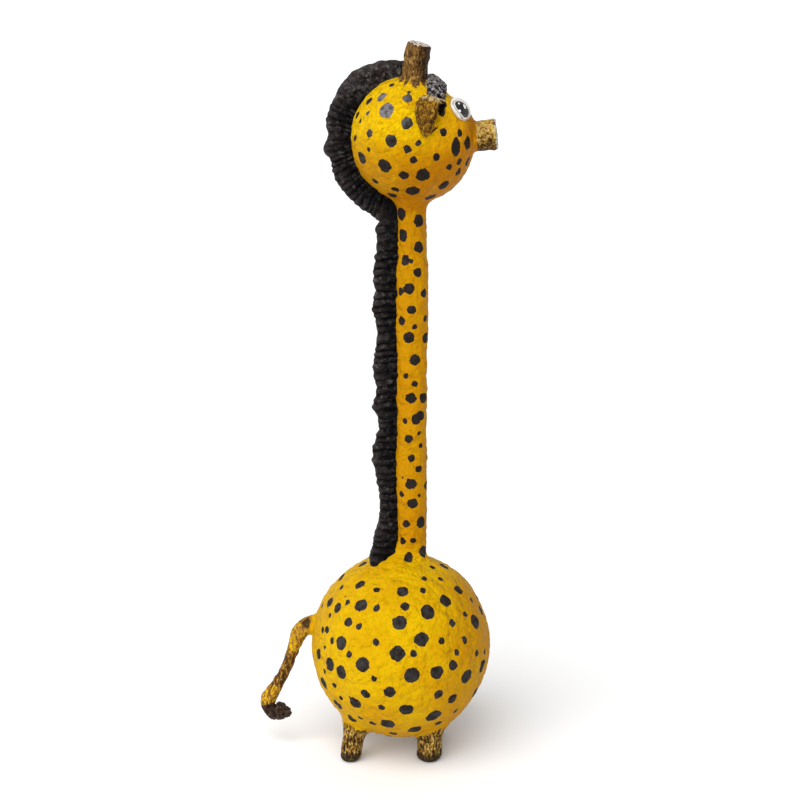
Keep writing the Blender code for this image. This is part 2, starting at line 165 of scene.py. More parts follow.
def spots(*rows: tuple[float, ...]) -> tuple[Spot, ...]:
    """Spots from rows of column, row and radius, and height to width where it isn't 1."""
    return tuple(Spot(*row) for row in rows)


# Spots that the photograph shows, from the top of each part downwards
HEAD_SPOTS = spots(
    (392.0, 85.8, 3.6), (381.8, 96.7, 6.8), (407.2, 98.3, 6.0), (408.9, 92.5, 2.2, 1.6), (368.7, 101.0, 5.6),
    (386.5, 110.7, 10.8), (367.8, 113.2, 2.8), (357.2, 115.0, 5.4), (360.0, 120.8, 4.0), (406.7, 123.0, 7.8),
    (443.3, 132.8, 5.2), (460.3, 133.3, 5.2), (369.3, 133.3, 4.8), (355.5, 138.5, 4.4), (390.8, 141.0, 8.2),
    (418.2, 142.7, 4.0), (456.3, 147.0, 7.8, 1.55), (467.8, 143.0, 7.4, 1.2), (368.7, 149.3, 3.4),
    (407.5, 149.3, 5.4), (436.2, 157.0, 5.0), (362.0, 158.0, 8.6), (413.8, 160.0, 4.8), (468.0, 161.5, 7.2),
    (459.3, 161.0, 4.6), (384.7, 165.8, 9.4), (449.3, 166.7, 4.6), (458.0, 171.8, 5.2), (403.5, 175.5, 6.6),
    (422.8, 175.2, 9.8), (374.8, 181.7, 5.0), (443.5, 185.7, 8.4), (395.0, 189.3, 5.4), (392.5, 195.0, 7.0),
    (412.7, 191.3, 9.6), (430.8, 197.5, 8.4),
)
NECK_SPOTS = spots(
    (401.6, 213.8, 6.8, 1.25), (418.9, 221.0, 7.6, 1.15), (402.8, 235.6, 6.8, 1.25), (419.1, 247.3, 7.2, 1.1),
    (405.0, 260.0, 6.6, 1.1), (411.6, 261.3, 3.0), (417.9, 272.8, 6.0), (428.3, 278.8, 5.8),
    (409.3, 289.0, 7.7), (400.2, 291.6, 5.2, 1.1), (424.1, 293.1, 6.4), (412.3, 310.0, 6.3),
    (401.2, 320.6, 6.0), (425.5, 318.8, 4.8), (414.8, 326.9, 3.2), (408.6, 337.5, 8.3), (425.8, 338.1, 7.6),
    (415.3, 360.0, 7.4), (405.4, 375.6, 4.2), (415.0, 384.0, 4.2), (410.8, 398.4, 7.4), (423.2, 398.1, 7.6),
    (415.8, 419.8, 7.6), (420.2, 415.6, 7.0), (405.0, 420.9, 3.6), (419.1, 432.9, 3.0), (408.4, 438.8, 5.8),
    (420.9, 445.3, 3.6), (411.5, 458.5, 5.6), (418.9, 468.9, 5.0), (402.5, 477.5, 1.2), (410.9, 483.8, 8.0),
    (425.8, 485.0, 5.8), (401.1, 494.0, 4.2), (419.4, 495.0, 3.2), (412.9, 503.8, 7.6),
    (421.0, 522.3, 7.6, 1.1), (406.4, 524.0, 5.4), (402.4, 540.9, 6.0), (412.9, 540.4, 3.6),
    (423.3, 551.3, 7.2, 1.2), (408.5, 557.5, 6.8),
)
BODY_SPOTS = spots(
    (363.2, 564.2, 7.0), (443.6, 566.4, 7.0), (432.4, 567.2, 4.0), (463.0, 575.0, 5.4), (341.6, 577.6, 7.0),
    (424.6, 578.2, 4.4), (441.0, 578.6, 3.8), (455.6, 580.6, 2.0), (359.6, 584.2, 7.2), (341.0, 587.4, 4.0),
    (376.8, 589.6, 4.4), (458.8, 590.2, 7.4), (423.2, 590.4, 4.6), (402.6, 591.4, 7.8), (345.2, 597.0, 2.0),
    (478.4, 598.6, 5.8), (471.4, 599.8, 4.2), (445.4, 600.6, 9.0), (347.6, 602.4, 4.0), (329.8, 602.4, 7.4),
    (361.2, 605.4, 9.3), (321.8, 606.0, 4.2), (405.2, 606.2, 5.8), (337.8, 607.4, 7.8), (376.8, 608.2, 5.2),
    (481.6, 610.4, 7.2), (428.0, 612.2, 10.4), (465.0, 614.2, 4.4), (329.4, 615.4, 4.0), (348.4, 622.0, 6.6),
    (475.0, 622.0, 10.0), (399.8, 622.6, 10.1), (452.2, 623.2, 5.0), (359.0, 626.6, 5.2), (322.2, 629.8, 3.8),
    (326.8, 630.0, 5.0), (421.6, 639.4, 10.0), (464.6, 640.0, 5.4), (331.8, 640.4, 5.0), (442.0, 641.4, 4.8),
    (375.8, 642.2, 5.0), (341.0, 643.0, 9.4), (359.2, 643.2, 0.9), (370.8, 643.6, 0.8), (324.0, 647.6, 3.0),
    (484.8, 651.2, 4.4), (456.6, 652.0, 4.4), (475.8, 653.2, 4.8), (397.6, 653.8, 10.6), (413.2, 654.0, 4.6),
    (318.4, 654.2, 7.6), (349.0, 654.6, 5.0), (329.8, 664.0, 9.4), (362.6, 664.6, 10.5), (452.6, 665.0, 7.6),
    (482.0, 666.0, 9.6), (324.8, 671.2, 3.6), (436.4, 672.2, 9.2), (341.2, 672.4, 9.6), (412.0, 675.4, 11.0),
    (466.6, 676.8, 10.8), (374.2, 678.4, 4.0), (324.4, 683.2, 9.6), (334.2, 684.8, 4.0), (389.8, 691.6, 8.4),
    (475.0, 693.0, 9.4), (365.4, 693.8, 6.4), (437.8, 694.2, 6.8), (349.6, 697.8, 2.4), (341.0, 698.4, 3.8),
    (452.8, 698.6, 8.0), (355.0, 703.0, 9.6), (338.0, 704.6, 8.8), (381.4, 707.4, 4.8), (406.4, 710.0, 9.6),
    (455.6, 710.6, 4.6), (433.2, 716.0, 11.4), (360.4, 717.6, 4.0), (352.0, 718.0, 7.4), (387.8, 723.6, 10.4),
    (372.6, 723.4, 5.0), (438.6, 723.4, 5.4), (414.6, 729.8, 10.6), (393.6, 733.2, 6.0),
)
# Black paint on the skin between the ear's mouth and the eye, which runs up to the fringe
EAR_SHADOWS = spots((443.6, 102.5, 5.2, 1.7), (441.6, 112.0, 5.4, 1.3))
# Highlights painted in the eye
EYE_GLINTS = spots((458.9, 103.4, 1.3, 1.5), (459.8, 110.8, 1.7), (464.6, 106.4, 2.2, 2.0))


@dataclass(frozen=True)
class ViewPoint:
    """The camera of the photograph: its place, what it looks at, and its lens."""

    place: Point = (0.1265, -2.0, 0.9290)
    target: Point = (0.0375, 0.0, 0.5290)
    lens_mm: float = 64.44
    sensor_mm: float = 36.0
    pixels: float = 800.0
    clear_of_statue: float = 0.45
    steps: int = 90
    step_share: float = 0.9
    deepest: float = 2.4

    def axes(self) -> Array:
        """Right, up and forward directions of the camera, one to a row.

        Returns:
            A 3 by 3 array of unit vectors.
        """
        forward = unit(np.subtract(self.target, self.place))
        right = unit(np.cross(forward, (0.0, 0.0, 1.0)))
        return np.array([right, np.cross(right, forward), forward])

    def rays(self, columns: Array, rows: Array) -> Array:
        """Directions of the sight lines through points of the photograph.

        Args:
            columns: Points' columns.
            rows: Points' rows.

        Returns:
            One unit vector for each point.
        """
        focal = self.lens_mm / self.sensor_mm * self.pixels
        right, up, forward = self.axes()
        across = (np.asarray(columns) - self.pixels / 2.0) / focal
        above = (self.pixels / 2.0 - np.asarray(rows)) / focal
        return unit(forward + across[:, None] * right + above[:, None] * up)

    def hits(self, spots: Sequence[Spot], distance: Callable[[Array], Array]) -> Array:
        """Where the sight lines of spots meet a surface.

        Formula: step along each line by most of the distance that is left, until it is nil.

        Args:
            spots: Points of the photograph.
            distance: Distance to the surface, negative inside it.

        Returns:
            One point for each spot.
        """
        start = np.array(self.place)
        ways = self.rays(np.array([spot.column for spot in spots]), np.array([spot.row for spot in spots]))
        depth = np.full(len(spots), np.linalg.norm(start) - self.clear_of_statue)
        for _ in range(self.steps):
            depth += self.step_share * distance(start + ways * depth[:, None])
            depth = np.minimum(depth, self.deepest)
        return start + ways * depth[:, None]


def smooth_route(points: Sequence[Sequence[float]], per_span: int) -> Array:
    """Run a Catmull-Rom curve through points.

    Formula: in each span a cubic of the share, whose slope at a point is half the step between the
    point's two neighbours.

    Args:
        points: The curve's own points, with any number of columns.
        per_span: Steps in each span.

    Returns:
        The curve's points, one to a row.
    """
    knots = np.array(points, float)
    ends = np.vstack([2 * knots[0] - knots[1], knots, 2 * knots[-1] - knots[-2]])
    share = np.arange(per_span)[:, None] / per_span
    spans = []
    for before, start, stop, after in zip(ends, ends[1:], ends[2:], ends[3:]):
        bend = 2 * before - 5 * start + 4 * stop - after
        twist = 3 * start - before - 3 * stop + after
        spans.append(start + 0.5 * ((stop - before) * share + bend * share**2 + twist * share**3))
    return np.vstack([*spans, knots[-1:]])


def ramp(values: Array, start: float, full: float) -> Array:
    """Rise smoothly from 0 at start to 1 at full, up or down: 3 s^2 - 2 s^3 of the clipped share s."""
    share = np.clip((values - start) / (full - start), 0.0, 1.0)
    return share * share * (3.0 - 2.0 * share)


def turned(east: Array, north: Array, angle: float) -> tuple[Array, Array]:
    """Components along and above a line that leans down from east by an angle."""
    cosine, sine = math.cos(angle), math.sin(angle)
    return east * cosine - north * sine, east * sine + north * cosine


def inside_spots(points: Array, centres: Array, radii: Sequence[float], tall: Sequence[float]) -> Array:
    """Distance of each point inside the nearest spot's edge.

    Formula: the spot's radius less the point's distance from its centre, whose height is divided by
    the spot's tallness, and the largest of these over all spots.

    Args:
        points: Places in the statue's frame.
        centres: The spots' centres.
        radii: Their radii.
        tall: Their height to width.

    Returns:
        One distance for each point, negative outside.
    """
    inside = np.full(len(points), -FAR_FROM_SPOTS)
    for centre, radius, stretch in zip(centres, radii, tall):
        offset = (points - centre) / (1.0, 1.0, stretch)
        inside = np.maximum(inside, radius - np.linalg.norm(offset, axis=1))
    return inside


def unit(vectors: Array) -> Array:
    """One vector, or one to a row, made 1 long."""
    return vectors / np.linalg.norm(vectors, axis=-1, keepdims=True)


def off_head(points: Array) -> Array:
    """Distance of points from the head's ball."""
    return np.linalg.norm(points - HEAD_CENTRE, axis=1) - HEAD_RADIUS


def off_body(points: Array) -> Array:
    """Distance of points from the body's ball, as a share of its half sizes."""
    return np.linalg.norm((points - BODY_CENTRE) / BODY_HALVES, axis=1) - 1.0


def smooth_join(first: Array, second: Array, reach: float | Array) -> Array:
    """Join shapes by their distances a and b, with a fillet: min(a, b) - max(r - |a - b|, 0)^2 / 4r."""
    near = np.maximum(reach - np.abs(first - second), 0.0) / reach
    return np.minimum(first, second) - near * near * reach / 4.0


def smooth_cut(solid: Array, tool: Array, reach: float) -> Array:
    """Cut a tool's shape out of a solid's, with a rounded lip; distances in and out."""
    return -smooth_join(-solid, tool, reach)


class Shape(ABC):
    """A solid that is known by the distance of any point to its surface."""

    @abstractmethod
    def distance(self, points: Array) -> Array:
        """Distance of each point to the surface, negative inside."""


@dataclass(frozen=True)
class Ball(Shape):
    """An oval ball."""

    centre: Point
    halves: Point

    def distance(self, points: Array) -> Array:
        """Length of the offset measured in half sizes, less 1, times the smallest half size."""
        return (np.linalg.norm((points - self.centre) / self.halves, axis=1) - 1.0) * min(self.halves)


@dataclass(frozen=True)
class Post(Shape):
    """An upright round post: radius by height, on an axis that may slant along X."""

    x: float
    y: float
    profile: Profile
    slant: float = 0.0
    per_span: int = 6

    def distance(self, points: Array) -> Array:
        """Distance from the axis less the radius at that height, cut off level at both ends.

        Args:
            points: Places in the statue's frame.

        Returns:
            One distance for each point, negative inside.
        """
        height = points[:, 2]
        fine = smooth_route(self.profile, self.per_span)
        across = np.hypot(points[:, 0] - self.x - self.slant * height, points[:, 1] - self.y)
        round_wall = across - np.interp(height, fine[:, 1], fine[:, 0])
        return np.maximum(round_wall, np.maximum(fine[0, 1] - height, height - fine[-1, 1]))


@dataclass(frozen=True)
class Rope(Shape):
    """A round tube along a smooth route of points, each with its radius."""

    route: Route
    margin: float = 0.03
    per_span: int = 4

    def distance(self, points: Array) -> Array:
        """Least distance to the route's short spans, less the radius there.

        Args:
            points: Places in the statue's frame.

        Returns:
            One distance for each point, negative inside.
        """
        fine = smooth_route(self.route, self.per_span)
        low = fine[:, :3].min(axis=0) - self.margin
        high = fine[:, :3].max(axis=0) + self.margin
        near = np.all((points > low) & (points < high), axis=1)
        start, span = fine[:-1, :3], np.diff(fine[:, :3], axis=0)
        offset = points[near][:, None, :] - start
        share = np.clip((offset * span).sum(axis=2) / (span * span).sum(axis=1), 0.0, 1.0)
        away = np.linalg.norm(offset - share[..., None] * span, axis=2)
        found = np.full(len(points), self.margin)
        found[near] = (away - fine[:-1, 3] - share * np.diff(fine[:, 3])).min(axis=1)
        return found


@dataclass(frozen=True)
class Horn(Shape):
    """A paper tube that bends forwards, with a cut end that is dished a little."""

    side: Side
    run_on: float = 0.012
    dish_depth: float = 0.0030
    lip: float = 0.0032
    lip_round: float = 0.0012
    painted_skin: Span = (0.006, 0.001)
    painted_round: Span = (0.030, 0.002)
    painted_width: Span = (0.024, 0.014)
    painted_back: float = 0.002
    painted_height: Span = (0.938, 0.986)
    axis_inwards: float = 0.010
    cut_facing: Span = (0.55, 0.85)
    cut_depth: Span = (-0.006, -0.003)

    def route(self) -> Array:
        """The horn's points and radii on its own side of the statue."""
        return np.array(HORN_ROUTE) * (1.0, self.side.value, 1.0, 1.0)

    def end(self) -> tuple[Array, Array]:
        """Middle of the cut end and the way it faces."""
        before, last = self.route()[-2:, :3]
        return last, unit(last - before)

    def distance(self, points: Array) -> Array:
        """A tube that runs on past its end, cut level there, less a shallow ball at the cut.

        Args:
            points: Places in the statue's frame.

        Returns:
            One distance for each point, negative inside.
        """
        route = self.route()
        middle, way = self.end()
        beyond = np.append(middle + way * self.run_on, route[-1, 3])
        tube = Rope(tuple(map(tuple, np.vstack([route, beyond])))).distance(points)
        above = (points - middle) @ way
        across = np.linalg.norm(points - middle - above[:, None] * way, axis=1)
        hollow = self.dish_depth * (1.0 - (across / (route[-1, 3] - self.lip)) ** 4)
        return smooth_cut(tube, -(above + np.clip(hollow, 0.0, None)), self.lip_round)

    def marks(self, points: Array, normals: Array) -> Array:
        """Where the horn's paint lies, the way round its foot, and its cut end.

        Args:
            points: Points of the skin.
            normals: The way it faces there.

        Returns:
            Three rows: the paint's share, metres round the foot, and the cut end's share.
        """
        middle, way = self.end()
        root_x, root_y, _, radius = HORN_ROUTE[0]
        away = self.distance(points)
        near = ramp(away, *self.painted_skin)
        beside, outwards = points[:, 0] - root_x, points[:, 1] * self.side.value
        width = ramp(np.abs(beside + self.painted_back), *self.painted_width)
        painted = np.maximum(near, ramp(away, *self.painted_round) * width)
        turn = np.arctan2(beside, outwards - root_y + self.axis_inwards) * (outwards > 0.0)
        end = ramp(normals @ way, *self.cut_facing) * ramp((points - middle) @ way, *self.cut_depth)
        return np.array([painted * ramp(points[:, 2], *self.painted_height), turn * radius, end * near])


@dataclass(frozen=True)
class Snout(Shape):
    """A rolled snout: a round bar along its own axis, with a small bevel at the end."""

    bevel: float = 0.0015
    inside_head: float = 0.03

    def axis(self) -> Array:
        """The way that the snout points."""
        return np.array([math.cos(SNOUT_RISE), 0.0, math.sin(SNOUT_RISE)])

    def along(self, points: Array) -> Array:
        """Distance along the axis from the snout's root."""
        return (points - SNOUT_ROOT) @ self.axis()

    def across(self, points: Array) -> Array:
        """Distance from the axis."""
        return np.linalg.norm(points - SNOUT_ROOT - self.along(points)[:, None] * self.axis(), axis=1)

    def distance(self, points: Array) -> Array:
        """Distance to a shorter, thinner bar, less the bevel.

        Args:
            points: Places in the statue's frame.

        Returns:
            One distance for each point, negative inside.
        """
        wall = self.across(points) - (SNOUT_RADIUS - self.bevel)
        middle = (SNOUT_LENGTH - self.inside_head) / 2.0
        half = (SNOUT_LENGTH + self.inside_head) / 2.0 - self.bevel
        length = np.abs(self.along(points) - middle) - half
        outside = np.hypot(np.maximum(wall, 0.0), np.maximum(length, 0.0))
        return outside + np.minimum(np.maximum(wall, length), 0.0) - self.bevel


@dataclass(frozen=True)
class BrowCrease(Shape):
    """A long oval bar across the forehead, which hollows the crease over the eyes."""

    def distance(self, points: Array) -> Array:
        """Distance to an oval in the plane of symmetry, carried along Y."""
        along, above = turned(points[:, 0] - BROW_PLACE[0], points[:, 2] - BROW_PLACE[1], BROW_LEAN)
        return (np.hypot(along / BROW_HALVES[0], above / BROW_HALVES[1]) - 1.0) * BROW_HALVES[1]


@dataclass(frozen=True)
class StatueShape(Shape):
    """The whole papier-mache skin, its members run together with fillets."""

    body: Ball = Ball(BODY_CENTRE, BODY_HALVES)
    head: Ball = Ball(HEAD_CENTRE, (HEAD_RADIUS, HEAD_RADIUS, HEAD_RADIUS))
    neck: Post = Post(NECK_X, 0.0, NECK_PROFILE)
    tail: Rope = Rope(TAIL_ROUTE)
    snout: Snout = Snout()
    brow: BrowCrease = BrowCrease()
    neck_fillet: float = 0.014
    back_fillet: float = 0.016
    neck_back: Span = (0.050, 0.030)
    chin_fillet: float = 0.016
    leg_fillet: float = 0.013
    small_fillet: float = 0.006
    brow_lip: float = 0.010

    def legs(self) -> list[Post]:
        """The four legs, the right ones first.

        Returns:
            The legs.
        """
        kinds = (
            (*FRONT_LEG_PLACE, FRONT_LEG_PROFILE, FRONT_LEG_SLANT),
            (*REAR_LEG_PLACE, REAR_LEG_PROFILE, REAR_LEG_SLANT),
        )
        return [Post(x, side.value * y, profile, slant) for side in Side for x, y, profile, slant in kinds]

    def distance(self, points: Array) -> Array:
        """Every member's distance, joined in turn, with the brow's crease cut last.

        Args:
            points: Places in the statue's frame.

        Returns:
            One distance for each point, negative inside.
        """
        fillet = self.neck_fillet + self.back_fillet * ramp(points[:, 0], *self.neck_back)
        skin = smooth_join(self.body.distance(points), self.neck.distance(points), fillet)
        skin = smooth_join(skin, self.head.distance(points), self.chin_fillet)
        for leg in self.legs():
            skin = smooth_join(skin, leg.distance(points), self.leg_fillet)
        skin = smooth_join(skin, self.tail.distance(points), self.small_fillet)
        skin = smooth_join(skin, self.snout.distance(points), self.small_fillet)
        for side in Side:
            skin = smooth_join(skin, Horn(side).distance(points), self.small_fillet)
        return smooth_cut(skin, self.brow.distance(points), self.brow_lip)


@dataclass(frozen=True)
class Relief:
    """Uneven handmade surface, as a sum of sine waves that run every way."""

    seed: int
    longest: float
    shortest: float
    height: float
    waves: int = 40

    def at(self, points: Array) -> Array:
        """Height of the relief at each point.

        Formula: waves whose lengths fall evenly in ratio from the longest to the shortest, each with
        a random direction and phase and a height in step with its length.

        Args:
            points: Places in the statue's frame.

        Returns:
            One height for each point, about as often below nil as above it.
        """
        random = np.random.default_rng(self.seed)
        ways = unit(random.normal(size=(self.waves, 3)))
        lengths = np.geomspace(self.longest, self.shortest, self.waves)
        phases = random.uniform(0.0, 2.0 * math.pi, self.waves)
        turns = points @ (ways * (2.0 * math.pi / lengths)[:, None]).T + phases
        return self.height * (np.sin(turns) * lengths).sum(axis=1) / np.sqrt((lengths**2).sum() / 2.0)


class Surface:
    """A mesh under work, with its points as one array."""

    MERGED_WITHIN = 0.00002
    LEAST_STEEPNESS = 0.2
    LONGEST_STEP = 0.003

    def __init__(self, name: str, mesh: bpy.types.Mesh) -> None:
        """Take over a mesh.

        Args:
            name: Name of the piece that the mesh becomes.
            mesh: The mesh.
        """
        self.name = name
        self.mesh = mesh
        mesh.name = name

    @classmethod
    def from_grid(cls, name: str, grid: Array, ring: bool, capped: bool = False) -> "Surface":
        """Make a mesh from a grid of points.

        Args:
            name: Name of the piece.
            grid: Points, as rows by columns by 3.
            ring: Whether each row closes on itself.
            capped: Whether the first and last rows are filled.

        Returns:
            The surface, with its faces pointing out.
        """
        rows, columns = grid.shape[:2]
        index = np.arange(rows * columns).reshape(rows, columns)
        if ring:
            index = np.hstack([index, index[:, :1]])
        corners = (index[:-1, :-1], index[:-1, 1:], index[1:, 1:], index[1:, :-1])
        faces = np.stack(corners, axis=-1).reshape(-1, 4).tolist()
        if capped:
            faces += [list(range(columns)), list(range((rows - 1) * columns, rows * columns))]
        mesh = bpy.data.meshes.new(name)
        mesh.from_pydata(grid.reshape(-1, 3).tolist(), [], faces)
        cls.merge(mesh, outwards=True)
        return cls(name, mesh)

    @classmethod
    def from_node(cls, name: str, node: str, voxel: float) -> "Surface":
        """Make an even, closed mesh from a copy of one of the model's nodes.

        Args:
            name: Name of the piece.
            node: Name of the node.
            voxel: Size of the new mesh's faces.

        Returns:
            The surface, close to the node's own.
        """
        copy = bpy.data.objects.new(name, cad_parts[node].data.copy())
        bpy.context.scene.collection.objects.link(copy)
        cls.merge(copy.data, outwards=False)
        remesh = copy.modifiers.new("even", "REMESH")
        remesh.mode = "VOXEL"
        remesh.voxel_size = voxel
        remesh.adaptivity = 0.0
        mesh = bpy.data.meshes.new_from_object(copy.evaluated_get(bpy.context.evaluated_depsgraph_get()))
        bpy.data.objects.remove(copy)
        mesh.materials.clear()
        return cls(name, mesh)

    @classmethod
    def merge(cls, mesh: bpy.types.Mesh, outwards: bool) -> None:
        """Merge a mesh's points that lie on each other.

        Args:
            mesh: The mesh.
            outwards: Whether its faces are turned outwards too.
        """
        shape = bmesh.new()
        shape.from_mesh(mesh)
        bmesh.ops.remove_doubles(shape, verts=shape.verts, dist=cls.MERGED_WITHIN)
        if outwards:
            bmesh.ops.recalc_face_normals(shape, faces=shape.faces)
        shape.to_mesh(mesh)
        shape.free()

    def read(self, items: bpy.types.bpy_prop_collection, key: str) -> Array:
        """Read a vector of every item of the mesh.

        Args:
            items: The mesh's vertices or their normals.
            key: The vector's name.

        Returns:
            The vectors, one to a row.
        """
        flat = np.empty(len(items) * 3, np.float32)
        items.foreach_get(key, flat)
        return flat.reshape(-1, 3).astype(float)

    @property
    def points(self) -> Array:
        """The mesh's points, one to a row."""
        return self.read(self.mesh.vertices, "co")

    @points.setter
    def points(self, values: Array) -> None:
        """Move the mesh's points."""
        self.mesh.vertices.foreach_set("co", np.asarray(values, np.float32).ravel())
        self.mesh.update()

    @property
    def normals(self) -> Array:
        """The way that the surface faces at each point."""
        return self.read(self.mesh.vertex_normals, "vector")

    def settle(self, distance: Callable[[Array], Array], rounds: int = 4, step: float = 0.0004) -> None:
        """Move every point onto a shape's surface.

        Formula: Newton's step, the distance along the distance's own slope, which is measured
        between two points a step apart along each axis.

        Args:
            distance: Distance to the shape.
            rounds: How many steps to take.
            step: Half the span over which the slope is measured.
        """
        points = self.points
        for _ in range(rounds):
            slope = np.stack(
                [distance(points + shift) - distance(points - shift) for shift in np.eye(3) * step], axis=1
            ) / (2.0 * step)
            steep = np.maximum((slope * slope).sum(axis=1), self.LEAST_STEEPNESS)
            away = np.clip(distance(points), -self.LONGEST_STEP, self.LONGEST_STEP)
            points -= slope * (away / steep)[:, None]
        self.points = points

    def relax(self, rounds: int, share: float = 0.5) -> None:
        """Even out the surface: each point moves a share of the way to its neighbours' middle.

        Args:
            rounds: How many times.
            share: The share of the way.
        """
        edges = np.empty(len(self.mesh.edges) * 2, np.int32)
        self.mesh.edges.foreach_get("vertices", edges)
        first, second = edges.reshape(-1, 2).T
        points = self.points
        count = np.bincount(edges, minlength=len(points))[:, None]
        for _ in range(rounds):
            total = np.zeros_like(points)
            np.add.at(total, first, points[second])
            np.add.at(total, second, points[first])
            points += share * (total / count - points)
        self.points = points

    def swell(self, heights: Array) -> None:
        """Move every point out along its normal by its own height."""
        self.points = self.points + self.normals * np.asarray(heights)[:, None]

    def note(self, **notes: Array) -> None:
        """Keep named numbers at each point, for the paint to read.

        Args:
            **notes: The numbers, one for each point, by name.
        """
        for name, values in notes.items():
            attribute = self.mesh.attributes.new(name, "FLOAT", "POINT")
            attribute.data.foreach_set("value", np.asarray(values, np.float32))

    def finish(self, paint: "Paint", slot: Slot, nodes: Sequence[str]) -> bpy.types.Object:
        """Make the piece, hang it on the root body, and hide the model's nodes that it stands for.

        Args:
            paint: The finish.
            slot: A material slot; not used.
            nodes: The model's nodes that the piece stands for.

        Returns:
            The finished piece.
        """
        self.mesh.shade_smooth()
        self.mesh.materials.append(paint.material)
        piece = bpy.data.objects.new(self.name, self.mesh)
        bpy.context.scene.collection.objects.link(piece)
        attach(piece, "root")
        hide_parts(*nodes)
        LOG.info("%s: %d points, %d faces", self.name, len(self.mesh.vertices), len(self.mesh.polygons))
        return piece


class Tone:
    """A number or colour in a set of shader nodes, with arithmetic."""

    def __init__(self, nodes: "Nodes", socket: bpy.types.NodeSocket) -> None:
        """Wrap an output socket of a set of nodes."""
        self.nodes = nodes
        self.socket = socket

    def maths(self, operation: str, *values: "Tone | float") -> "Tone":
        """Add a Math node, with its operation and its inputs in order."""
        node = self.nodes.node("ShaderNodeMath", {"operation": operation}, dict(enumerate(values)))
        return Tone(self.nodes, node.outputs[0])

    def __add__(self, other: "Tone | float") -> "Tone":
        """Sum."""
        return self.maths("ADD", self, other)

    def __radd__(self, other: float) -> "Tone":
        """Sum."""
        return self.maths("ADD", other, self)

    def __sub__(self, other: "Tone | float") -> "Tone":
        """Difference."""
        return self.maths("SUBTRACT", self, other)

    def __rsub__(self, other: float) -> "Tone":
        """Difference."""
        return self.maths("SUBTRACT", other, self)

    def __mul__(self, other: "Tone | float") -> "Tone":
        """Product."""
        return self.maths("MULTIPLY", self, other)

    def __rmul__(self, other: float) -> "Tone":
        """Product."""
        return self.maths("MULTIPLY", other, self)

    def __abs__(self) -> "Tone":
        """Size without sign."""
        return self.maths("ABSOLUTE", self)

    def rise(self, low: float, high: float) -> "Tone":
        """Rise smoothly from 0 to 1.

        Args:
            low: The number at which the result is still 0.
            high: The number at which it is 1.

        Returns:
            The result.
        """
        inputs = {"Value": self, "From Min": low, "From Max": high}
        node = self.nodes.node("ShaderNodeMapRange", {"interpolation_type": "SMOOTHSTEP"}, inputs)
        return Tone(self.nodes, node.outputs["Result"])


class Nodes:
    """A tree of shader nodes, and the calls that add to it."""

    def __init__(self, tree: bpy.types.NodeTree) -> None:
        """Take a tree to add to."""
        self.tree = tree

    def node(
        self, kind: str, settings: dict[str, object] | None = None, inputs: dict | None = None
    ) -> bpy.types.Node:
        """Add a node.

        Args:
            kind: The node's type.
            settings: The node's own settings, set first; "stops" holds a colour ramp's stops.
            inputs: A number, colour or tone for each named or numbered input socket.

        Returns:
            The node.
        """
        made = self.tree.nodes.new(kind)
        for name, value in (settings or {}).items():
            if name == "stops":
                self.set_stops(made.color_ramp, value)
            else:
                setattr(made, name, value)
        for name, value in (inputs or {}).items():
            self.feed(made.inputs[name], value)
        return made

    def set_stops(self, colours: bpy.types.ColorRamp, stops: Stops) -> None:
        """Set a colour ramp's stops.

        Args:
            colours: The ramp.
            stops: The stops' places and colours.
        """
        while len(colours.elements) < len(stops):
            colours.elements.new(1.0)
        for element, (place, colour) in zip(colours.elements, stops):
            element.position = place
            element.color = (*colour, 1.0)

    def feed(self, socket: bpy.types.NodeSocket, value: "Tone | float | Colour") -> None:
        """Link a tone to an input socket, or set the socket's own number or colour.

        Args:
            socket: The input socket.
            value: The tone, number or colour.
        """
        if isinstance(value, Tone):
            self.tree.links.new(value.socket, socket)
        elif isinstance(value, tuple) and socket.type == "RGBA":
            socket.default_value = (*value, 1.0)
        else:
            socket.default_value = value


@dataclass(frozen=True)
class Noise:
    """A pattern of uneven noise from 0 to 1.

    Attributes:
        scale: Features to the metre.
        detail: How many finer layers it has.
        rough: How strong the finer layers are.
        bend: How far it distorts itself.
        stretch: Scale along each axis, for a pattern with a grain.
        turn: Turn of the axes before they are scaled.
        notes: The mesh's notes that stand in for X and Y, if it isn't read in the statue's frame.
        edge: The noise below which the pattern is nil, and above which it is full.
    """

    scale: float
    detail: float = 3.0
    rough: float = 0.55
    bend: float = 0.0
    stretch: Point | None = None
    turn: Point = (0.0, 0.0, 0.0)
    notes: tuple[str, str] | None = None
    edge: Span | None = None


@dataclass(frozen=True)
class Coat:
    """A coat brushed over other paint: its colour, where it lies, and how much it covers."""

    colour: Colour
    pattern: Noise
    note: str | None = None
    cover: float = 1.0


@dataclass(frozen=True)
class Zone:
    """A zone of brushed colours.

    Attributes:
        note: Its note on the mesh.
        edge: The notes at which it starts and is full.
        wander: Patterns that move its edge, each with how far.
        pattern: The pattern that picks its colours.
        stops: The colours.
        darker: How much darker it is all over.
        shade: A note that darkens it, and how much.
        cover: How much it covers.
    """

    note: str
    edge: Span
    wander: tuple[tuple[Noise, float], ...]
    pattern: Noise
    stops: Stops
    darker: float = 0.0
    shade: tuple[str, float] | None = None
    cover: float = 1.0


